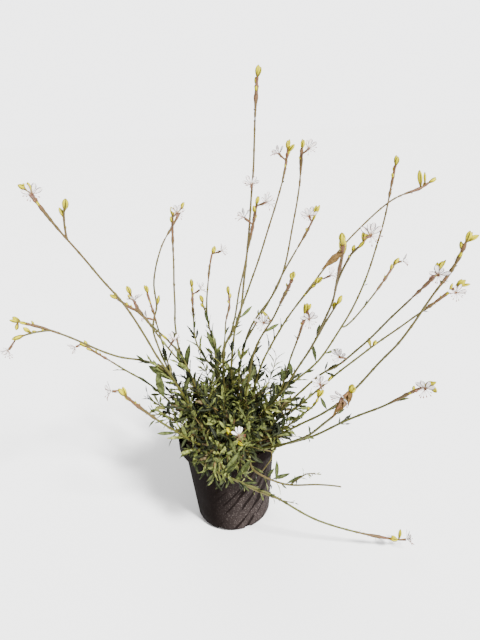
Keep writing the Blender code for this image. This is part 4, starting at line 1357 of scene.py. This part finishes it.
def flower_line(points, is_branch, trails):
    """The facts of a flower stem at each point: thick, green and leafy low down, slim and brown above."""
    whole = length_of(points)
    foot = STEM_BASE_RADIUS * (BRANCH_GIRTH if is_branch else 1.0)
    near, over, least = THINNING
    rows = []
    for point, done in zip(points, distances(points)):
        share, left, height = done / whole, whole - done, point.z - SOIL_LEVEL
        if trails:
            size, leafiness, lean = step_between(TRAILING_LEAFAGE, share)
        else:
            size, leafiness, lean = step_between(STEM_LEAFAGE, height)
            leafiness *= clamp(1.0 - (math.hypot(point.x, point.y) - near) / over, least)
        in_foot = share < BARE_FOOT[1] and point.z < SOIL_LEVEL + BARE_FOOT[0]
        if left < BARE_TIP or in_foot:
            leafiness = 0.0
        thickness = foot + (STEM_TIP_RADIUS - foot) * share
        redness = clamp((height - RED_START) / RED_HEIGHT) * RED_MOST
        if left < SPIKE and whole > 2 * SPIKE:
            near_tip = 1.0 - left / SPIKE
            knobs = 1.0 + SPIKE_KNOBS * noise.noise(point * KNOB_SCALE)
            thickness *= (1.0 + (SPIKE_GIRTH - 1.0) * min(near_tip * 2.0, 1.0)) * knobs
            redness = SPIKE_REDNESS + (1.0 - SPIKE_REDNESS) * near_tip
            if left > BUD_LENGTH:
                size, leafiness, lean = SPIKE_BRACT
        rows.append((point, thickness * swelling(done), size, leafiness, lean, redness))
    return rows


def shoot_line(points, leaf_length, radius, start_leaves=0.0, leafage=SHOOT_LEAFAGE):
    """The facts of a leafy shoot at each point: bare at its foot and ending in a small rosette."""
    whole = length_of(points)
    rows = []
    for point, done in zip(points, distances(points)):
        size, leafiness, lean = step_between(leafage, max(done / whole, start_leaves))
        thickness = radius * (1.0 - SHOOT_TAPER * done / whole)
        rows.append((point, thickness, size * leaf_length, leafiness, lean, SHOOT_REDNESS))
    return rows


def carrier_line(root, centre):
    """The facts of the slim tube that carries a bloom: it widens a little and has no leaves."""
    rows = []
    for step in range(TUBE_STEPS + 1):
        thickness = TUBE_RADIUS + TUBE_WIDENING * step / TUBE_STEPS
        rows.append((root.lerp(centre, step / TUBE_STEPS), thickness, 0.0, 0.0, 0.0, TUBE_REDNESS))
    return rows


def line_mesh(name, lines):
    """Centre lines as one mesh of edges, with an attribute for each of the facts."""
    points = [row[0] for line in lines for row in line]
    edges, start = [], 0
    for line in lines:
        edges += [(start + step, start + step + 1) for step in range(len(line) - 1)]
        start += len(line)
    mesh = bpy.data.meshes.new(name)
    mesh.from_pydata(points, edges, [])
    for column, fact_name in enumerate(LINE_FACTS, start=1):
        values = [row[column] for line in lines for row in line]
        mesh.attributes.new(fact_name, "FLOAT", "POINT").data.foreach_set("value", values)
    return mesh


def places_mesh(name, places):
    """Loose points that carry how a part is turned and sized there, and which kind it is."""
    mesh = bpy.data.meshes.new(name)
    mesh.from_pydata([place[0].translation for place in places], [], [])
    turns = [value for place in places for value in place[0].to_euler()]
    mesh.attributes.new("turn", "FLOAT_VECTOR", "POINT").data.foreach_set("vector", turns)
    mesh.attributes.new("size", "FLOAT", "POINT").data.foreach_set("value", [place[1] for place in places])
    mesh.attributes.new("kind", "INT", "POINT").data.foreach_set("value", [place[2] for place in places])
    return mesh


def bud_places(line, rng):
    """A tip's buds: one at the end and smaller ones leaning away from the stem below it."""
    whole = length_of(line)
    turn = rng.uniform(0, math.tau)
    places = []
    for index, (back, share, lean) in enumerate(BUD_CROWD):
        if index > 1 and rng.random() < BUD_MISSING:
            continue
        origin, along = at_distance(line, whole - BUD_LENGTH - back)
        side = Matrix.Rotation(turn + GOLDEN_ANGLE * index, 3, along) @ along.orthogonal().normalized()
        out = (along * math.cos(lean) + side * math.sin(lean) + UP * lean).normalized()
        length = BUD_LENGTH * share * rng.uniform(*BUD_SIZES)
        if index:
            length = min(length, SIDE_BUD_LONGEST)
        places.append((standing(origin, out, rng.uniform(0, math.tau)), length, BUD))
    return places


def outward(angle, sway):
    """The direction at an angle round the pot, and a step of sway at right angles to it."""
    out = Vector((math.cos(angle), math.sin(angle), 0.0))
    return out, Vector((-out.y, out.x, 0.0)) * sway


def mound_lines(rng):
    """The short shoots of the mound, from places spread over the soil like a sunflower's seeds."""
    near, high, swayed = MOUND_MIDDLE
    lines = []
    for index in range(MOUND_SHOOTS):
        ring = math.sqrt((index + 0.5) / MOUND_SHOOTS)
        angle = index * GOLDEN_ANGLE
        out, aside = outward(angle, rng.uniform(-MOUND_SWAY, MOUND_SWAY))
        base = out * ring * MOUND_FOOT + UP * (SOIL_LEVEL - FOOT_DEPTH)
        rise = (MOUND_TOP + (MOUND_EDGE - MOUND_TOP) * ring ** 2) * rng.uniform(*MOUND_RISES)
        if BARE_RIM[0] < math.degrees(angle) % 360 < BARE_RIM[1]:
            rise += BARE_RIM_LIFT * ring
        reach = ring * MOUND_REACH * rng.uniform(*MOUND_REACHES)
        middle = base + out * reach * near + UP * rise * high + aside * swayed
        end = base + out * reach + UP * rise + aside
        points = stirred(smooth_route([base, middle, end]))
        lines.append(shoot_line(points, SHOOT_LEAF * rng.uniform(*MOUND_LEAVES), SHOOT_RADIUS))
    return lines


def overhang_lines(rng):
    """Shoots that lean over the front of the rim and hang a little way down outside it."""
    first, last, count = OVERHANG
    lines = []
    for index in range(count):
        angle = math.radians(first + (last - first) * (index + rng.random()) / count)
        out, aside = outward(angle, rng.uniform(-OVERHANG_SWAY, OVERHANG_SWAY))
        drop = rng.uniform(0.0, 1.0)
        points = [
            out * (away + wider * drop) + UP * (height - lower * drop) + aside * swayed
            for away, height, wider, lower, swayed in OVERHANG_POINTS
        ]
        leaf = SHOOT_LEAF * rng.uniform(*OVERHANG_LEAVES)
        lines.append(shoot_line(smooth_route(points), leaf, SHOOT_RADIUS))
    return lines


# Pot and soil


def body_radius(height):
    """The pot's outer radius below its collar."""
    top = RIM_RADIUS - COLLAR_STEP
    return BASE_RADIUS + (top - BASE_RADIUS) * height / (POT_HEIGHT - COLLAR_DEPTH)


def revolved(name, profile, wobble):
    """A closed turned solid. The profile runs from the axis to the axis."""
    bm = bmesh.new()
    rings = []
    for radius, height in profile:
        if radius == 0.0:
            rings.append([bm.verts.new((0.0, 0.0, height))])
            continue
        ring = []
        for side in range(ROUND_SIDES):
            angle = math.tau * side / ROUND_SIDES
            true_radius = radius + wobble(angle, radius, height)
            ring.append(bm.verts.new((true_radius * math.cos(angle), true_radius * math.sin(angle), height)))
        rings.append(ring)
    for first, second in zip(rings, rings[1:]):
        for side in range(ROUND_SIDES):
            after = (side + 1) % ROUND_SIDES
            corners = [
                first[side % len(first)], first[after % len(first)],
                second[after % len(second)], second[side % len(second)],
            ]
            bm.faces.new(list(dict.fromkeys(corners)))
    bmesh.ops.recalc_face_normals(bm, faces=bm.faces)
    for face in bm.faces:
        face.smooth = True
    return new_mesh(name, bm)


def arc(centre, radius, start, end, steps):
    """The points of a profile's round corner, from one angle to another in degrees."""
    angles = [math.radians(start + (end - start) * step / steps) for step in range(steps + 1)]
    return [(centre[0] + radius * math.cos(angle), centre[1] + radius * math.sin(angle)) for angle in angles]


def run(first, last, steps):
    """Points evenly spaced between two points of a profile, without its ends."""
    return [
        tuple(a + (b - a) * step / steps for a, b in zip(first, last))
        for step in range(1, steps)
    ]


def pot_profile(foot):
    """The pot's section from the middle of its floor, up inside, over the lip and down outside."""
    shoulder = POT_HEIGHT - COLLAR_DEPTH
    side = body_radius(shoulder)
    half = WALL / 2
    lip = arc((RIM_RADIUS - half, POT_HEIGHT - half), half, 180, 0, 8)
    ledge = arc((RIM_RADIUS - LEDGE_ROUND, shoulder + LEDGE_ROUND), LEDGE_ROUND, 0, -90, 4)
    under = arc((side + UNDER_ROUND, shoulder - UNDER_ROUND), UNDER_ROUND, 90, 180, 4)
    side_top = (side, shoulder - UNDER_END)
    corner = arc((foot, CORNER), CORNER, 0, -90, 8)
    inner_corner = arc((foot, CORNER), CORNER - WALL, -90, 0, 6)
    inner_top = (side - WALL, shoulder - COLLAR_BEND)
    collar_inside = (RIM_RADIUS - WALL, shoulder + COLLAR_BEND)
    return [
        (0.0, WALL), *run((0.0, WALL), (foot, WALL), 6), *inner_corner,
        *run(inner_corner[-1], inner_top, 10), inner_top, collar_inside,
        *run(collar_inside, lip[0], 5), *lip, *run(lip[-1], ledge[0], 6), *ledge, *under, side_top,
        *run(side_top, corner[0], 14), *corner, *run(corner[-1], (0.0, 0.0), 6), (0.0, 0.0),
    ]


def make_pot(finish):
    """The nursery pot: thin wall, rolled lip, collar with its ledge, round foot and drain holes."""
    foot = body_radius(CORNER) - CORNER

    def wobble(angle, radius, height):
        """A thin pot is never quite round, and two mould seams run down it."""
        uneven = math.sin(2 * angle + 0.7) + 0.6 * math.sin(5 * angle)
        on_seam = ROUND_SIDES * angle / math.tau % (ROUND_SIDES / 2) < 1 and radius > foot
        return OUT_OF_ROUND * (height / POT_HEIGHT) * uneven + (MOULD_SEAM if on_seam else 0.0)

    pot = put("pot_shell", revolved("pot_shell", pot_profile(foot), wobble))
    drains = bmesh.new()
    for index in range(DRAIN_HOLES):
        turn = Matrix.Rotation(math.tau * (index + 0.5) / DRAIN_HOLES, 4, "Z")
        place = Matrix.Translation((body_radius(CORNER) - DRAIN_INSET, 0.0, 0.0))
        bmesh.ops.create_cube(drains, size=1.0, matrix=turn @ place @ Matrix.Diagonal((*DRAIN_SIZE, 1.0)))
    cutter = put("drain_holes", new_mesh("drain_holes", drains))
    boolean = pot.modifiers.new("drains", "BOOLEAN")
    boolean.operation = "DIFFERENCE"
    boolean.object = cutter
    graph = bpy.context.evaluated_depsgraph_get()
    shell = bpy.data.meshes.new_from_object(pot.evaluated_get(graph))
    bpy.data.objects.remove(pot)
    bpy.data.objects.remove(cutter)
    shell.materials.clear()
    shell.materials.append(finish)
    # The pot's finish carries painted sunlight at its right and painted stem shadows.
    dress("pot_dusty", shell, "black_plastic", "pot")


def make_soil(tree, kit):
    """The plug of soil, lumpy on top, with crumbs of bark and perlite."""
    edge = body_radius(SOIL_LEVEL - SOIL_EDGE) - WALL - GAP
    side = body_radius(CORNER)
    profile = [
        *((edge * step / SOIL_RINGS, SOIL_LEVEL) for step in range(SOIL_RINGS + 1)),
        (edge, SOIL_LEVEL - SOIL_EDGE), (side - WALL - GAP, CORNER),
        (side - CORNER - GAP, WALL + GAP), (0.0, WALL + GAP),
    ]
    mesh = revolved("soil", profile, lambda angle, radius, height: 0.0)
    for vert in mesh.vertices:
        if vert.co.z == mesh.vertices[0].co.z:
            lump = noise.fractal(vert.co * SOIL_LUMP_SCALE, *SOIL_LUMP_NOISE)
            vert.co.z += clamp(lump, -1.0) * SOIL_LUMP
    made = grow(mesh, tree, {
        **kit, "Crumb spacing": CRUMB_SPACING, "Crumb size": CRUMB_SIZE, "Top above": CRUMBS_ABOVE,
        "Seed": CRUMB_SEED,
    })
    dress("soil_crumbly", made, "potting_soil", "soil")


# Plant


def touches_pot(points):
    """Which of these points lie in the pot's wall or in the soil, or too close to them."""
    radius = np.hypot(points[:, 0], points[:, 1])
    height = points[:, 2]
    collar = height > POT_HEIGHT - COLLAR_DEPTH - SOIL_CLEARANCE
    outer = np.where(collar, RIM_RADIUS, body_radius(height))
    in_wall = (
        (radius > outer - WALL - WALL_CLEARANCE) & (radius < outer + WALL_CLEARANCE)
        & (height < POT_HEIGHT + WALL_CLEARANCE)
    )
    in_soil = (radius < outer) & (height < SOIL_LEVEL + SOIL_CLEARANCE)
    return in_wall | in_soil | (height < WALL_CLEARANCE)


def hangs_out(points):
    """Which of these points lie lower outside the rim than the photograph shows leaves there."""
    radius = np.hypot(points[:, 0], points[:, 1])
    height = points[:, 2]
    angle = np.degrees(np.arctan2(points[:, 1], points[:, 0])) % 360.0
    front = (angle > HANGING[0]) & (angle < HANGING[1])
    bare = (angle > BARE_RIM[0]) & (angle < BARE_RIM[1])
    low = (radius > HANGING_START) & (height < np.where(front, HANGING_FLOOR, HANGING_LIMIT))
    return low | (bare & (radius > BARE_START) & (height < BARE_LIMIT))


def drop_unwanted(mesh, tests):
    """Take out each numbered part, such as a leaf or a bud, that has a point for which a test holds."""
    count = len(mesh.vertices)
    points = np.empty(count * 3)
    mesh.vertices.foreach_get("co", points)
    numbers = np.empty(count, dtype=np.float32)
    mesh.attributes["number"].data.foreach_get("value", numbers)
    points = points.reshape(-1, 3)
    touching = np.logical_or.reduce([test(points) for test in tests]) & (numbers > 0.5)
    unwanted = np.isin(numbers, np.unique(numbers[touching]))
    bm = bmesh.new()
    bm.from_mesh(mesh)
    bmesh.ops.delete(bm, geom=[vert for vert, out in zip(bm.verts, unwanted) if out], context="VERTS")
    bm.to_mesh(mesh)
    bm.free()
    return mesh


def grown_group(name, group, rng):
    """The facts along a stem or shoot and its branches, and the places of the buds at their tips."""
    rows, buds = [], []
    trails = name in TRAILING
    for index, line in enumerate(group):
        if name in FLOWER_STEMS:
            kept = [point for point in line if (point - line[-1]).length > BUD_LENGTH]
            kept.append(at_distance(line, length_of(line) - BUD_LENGTH * BUD_HOLD)[0])
            rows.append(flower_line(halved(kept), index > 0, trails))
            buds += bud_places(line, rng)
        else:
            leafage = TRAILING_SHOOT_LEAFAGE if trails else SHOOT_LEAFAGE
            girth = SHOOT_RADIUS * (TRAILING_SHOOT_GIRTH if trails else LEAFY_SHOOT_GIRTH)
            start = BRANCH_LEAVES_FROM if index else 0.0
            rows.append(shoot_line(line, SHOOT_LEAF * LEAFY_SHOOT_LEAF, girth, start, leafage))
    return rows, buds


def add_listed_parts(lines, parts, rng):
    """The places of the buds, large leaves and spent parts that are listed one by one."""
    leaves = LEAVES + TRAILING_LEAVES
    for kind, listed in ((BUD, BUDS + SMALL_BUDS), (LARGE_LEAF, leaves), (SPENT_PART, SPENT)):
        for owner, foot, tip in listed:
            origin = nearest_point(lines[owner], metres(foot))
            reach = metres(tip) - origin
            if kind == BUD:
                place = standing(origin, reach, rng.uniform(0, math.tau))
                own_kind = SLIM_BUD if reach.length > SLIM_FROM else BUD
            else:
                place = facing_viewer(origin, reach)
                own_kind = kind
            parts[owner].append((place, reach.length, own_kind))


def add_mound(lines, rows, parts, rng):
    """Give the short shoots, with their broad leaves and dry bits, to the leafy shoots beside them."""
    mound = mound_lines(rng)
    for index, line in enumerate(mound + overhang_lines(rng)):
        end = line[-1][0]
        nearest = min(LEAFY_SHOOTS, key=lambda name: (lines[name][0][-1] - end).length)
        rows[nearest].append(line)
        if index < len(mound) and index % BROAD_LEAF_EVERY == 0:
            upward = (end - line[len(line) // 2][0]).normalized() + UP * BROAD_LEAF_LIFT
            place = standing(end, upward, rng.uniform(0.0, math.tau))
            parts[nearest].append((place, rng.uniform(*BROAD_LEAF_LENGTH), LARGE_LEAF))
        for share in DRY_BITS:
            dry = Vector(rng.uniform(-1.0, 1.0) for _ in range(3))
            place = standing(line[int(len(line) * share)][0], dry, 0.0)
            parts[nearest].append((place, rng.uniform(*DRY_BIT_LENGTH), SPENT_PART))


def make_stems(tree, kit):
    """Every flower stem and leafy shoot, and their centre lines for the blooms."""
    rng = random.Random(STEM_SEED)
    lines = stem_lines()
    rows, parts = {}, {}
    for name, group in lines.items():
        rows[name], parts[name] = grown_group(name, group, rng)
    add_listed_parts(lines, parts, rng)
    for owner, route in TWIGS:
        points = smooth_route([metres(point) for point in route])
        points[0] = nearest_point(lines[owner], points[0])
        rows[owner].append(shoot_line(points, SHOOT_LEAF * TWIG_LEAF, SHOOT_RADIUS * TWIG_GIRTH))
    for owner, place in BLOOMS:
        centre = metres(place)
        rows[owner].append(carrier_line(tube_root(lines[owner], centre), centre))
    add_mound(lines, rows, parts, rng)

    for index, name in enumerate(lines):
        places = put("part_places", places_mesh("part_places", parts[name]))
        made = grow(line_mesh(name, rows[name]), tree, {
            **kit, "Stem sides": STEM_SIDES, "Leaf spacing": LEAF_SPACING, "Lean spread": LEAN_SPREAD,
            "Twist": LEAF_TWIST, "Seed": index, "Places": places,
        })
        bpy.data.objects.remove(places)
        slot = "stems_and_leaves" if name in FLOWER_STEMS else "shoot_leaves"
        tests = (touches_pot,) if name in TRAILING else (touches_pot, hangs_out)
        dress(name + "_grown", drop_unwanted(made, tests), slot, name)
    return lines


def fan_out(rng, heart, fan, kind, openness=1.0):
    """The places of one kind of a bloom's parts, round the face whose frame is given."""
    angles, wander, lean, sway, length, shares, ahead = fan
    places = []
    for angle in angles:
        turn = Matrix.Rotation(math.radians(angle * openness + rng.uniform(*wander)), 4, "Y")
        tip = Matrix.Rotation(math.radians(lean + rng.uniform(*sway)), 4, "X")
        place = heart @ Matrix.Translation((0.0, ahead, 0.0)) @ turn @ tip
        places.append((place, length * rng.uniform(*shares), kind))
    return places


def make_blooms(tree, lines, kit):
    """Each bloom: four petals fanned over its upper half, sepals swept back, and stamens hanging out."""
    rng = random.Random(BLOOM_SEED)
    for index, (owner, place) in enumerate(BLOOMS, start=1):
        centre = metres(place)
        facing = (centre - tube_root(lines[owner], centre)).normalized()
        heart = axes(centre, facing, UP)
        openness = WILTED_OPENNESS if index in WILTED else rng.uniform(*OPENNESS)
        places = fan_out(rng, heart, PETAL_FAN, PETAL, openness)
        places += fan_out(rng, heart, SEPAL_FAN, SEPAL)
        places += fan_out(rng, heart, STAMEN_FAN, STAMEN)
        name = f"bloom_{index:02d}"
        made = grow(places_mesh(name, places), tree, {**kit, "Seed": index})
        dress(name + "_open", made, "petals", name)


# Studio


def add_floor():
    """A plain pale floor, wide enough for every view."""
    bm = bmesh.new()
    bmesh.ops.create_grid(bm, x_segments=1, y_segments=1, size=FLOOR_HALF)
    mesh = new_mesh("floor", bm)
    floor = put("floor", mesh)
    look = Finish("pale_floor", 0.9, 0.1)
    pale = mixed(look.mottle(3.0), (0.90, 0.90, 0.895), (0.94, 0.94, 0.935))
    look.tree.links.new(pale.socket, look.shader.inputs["Base Color"])
    mesh.materials.append(look.material)


def add_lights():
    """Soft light from the upper right and a weaker one from behind, both far off, and a pale surround."""
    for name, (place, power, softness) in LIGHTS.items():
        light = bpy.data.lights.new(name, "SUN")
        light.energy = power
        light.angle = math.radians(softness)
        item = bpy.data.objects.new(name, light)
        item.location = place
        item.rotation_euler = Vector(place).to_track_quat("Z", "Y").to_euler()
        bpy.context.scene.collection.objects.link(item)
    world = bpy.data.worlds.new("pale_surround")
    bpy.context.scene.world = world
    world.use_nodes = True
    tree = world.node_tree
    seen = add(tree, "ShaderNodeLightPath")["Is Camera Ray"]
    strength = rough(seen, SURROUND_LIGHT, SURROUND_LOOK)
    background = tree.nodes["Background"]
    background.inputs["Color"].default_value = (0.97, 0.97, 0.98, 1.0)
    tree.links.new(strength.socket, background.inputs["Strength"])


def add_camera():
    """The photograph's angle: from above, tipped a little to the left."""
    camera = bpy.data.cameras.new("camera")
    camera.sensor_width = CAMERA_SENSOR
    camera.lens = CAMERA_LENS
    item = bpy.data.objects.new("camera", camera)
    bpy.context.scene.collection.objects.link(item)
    pitch, roll = math.radians(CAMERA_PITCH), math.radians(CAMERA_ROLL)
    ahead = Vector((0.0, math.cos(pitch), -math.sin(pitch)))
    level_up = Vector((0.0, math.sin(pitch), math.cos(pitch)))
    right = math.cos(roll) * Vector((1.0, 0.0, 0.0)) + math.sin(roll) * level_up
    up = -math.sin(roll) * Vector((1.0, 0.0, 0.0)) + math.cos(roll) * level_up
    matrix = Matrix((right, up, -ahead)).transposed().to_4x4()
    matrix.translation = CAMERA_PLACE
    item.matrix_world = matrix
    bpy.context.scene.camera = item


def main():
    noise.seed_set(NOISE_SEED)
    rng = random.Random(SHAPE_SEED)
    bud = bud_finish()
    kit = {
        "Leaf finish": leaf_finish("gaura_leaf", NARROW_LEAF_GREENS_WITH_PAINTED_LIGHT),
        "Large leaf finish": leaf_finish("gaura_large_leaf", LARGE_LEAF_GREENS),
        "Stem finish": stem_finish(), "Bud finish": bud, "Slim bud finish": bud,
        "Spent finish": spent_finish(), "Petal finish": petal_finish(), "Sepal finish": sepal_finish(),
        "Stamen finish": stamen_finish(), "Soil finish": soil_finish(), "Crumb finish": crumb_finish(),
    }
    # The random draws follow the order of these lines.
    boxes = {
        "Large leaf shapes": large_leaf_shapes(rng), "Leaf shapes": leaf_shapes(rng),
        "Bud shapes": bud_shapes(1.0), "Slim bud shapes": bud_shapes(SLIM_GIRTH),
        "Petal shapes": petal_shapes(rng), "Sepal shapes": sepal_shapes(),
        "Spent shapes": spent_shapes(rng), "Stamen shapes": stamen_shapes(),
        "Crumb shapes": crumb_shapes(rng),
    }
    boxes = {name: shape_box(name, meshes) for name, meshes in boxes.items()}
    kit.update(boxes)
    make_pot(pot_finish())
    make_soil(crumb_tree(), kit)
    lines = make_stems(stem_tree(), kit)
    make_blooms(bloom_tree(), lines, kit)
    for box in boxes.values():
        for shape in list(box.objects):
            bpy.data.objects.remove(shape)
        bpy.data.collections.remove(box)
    add_floor()
    add_lights()
    add_camera()


main()
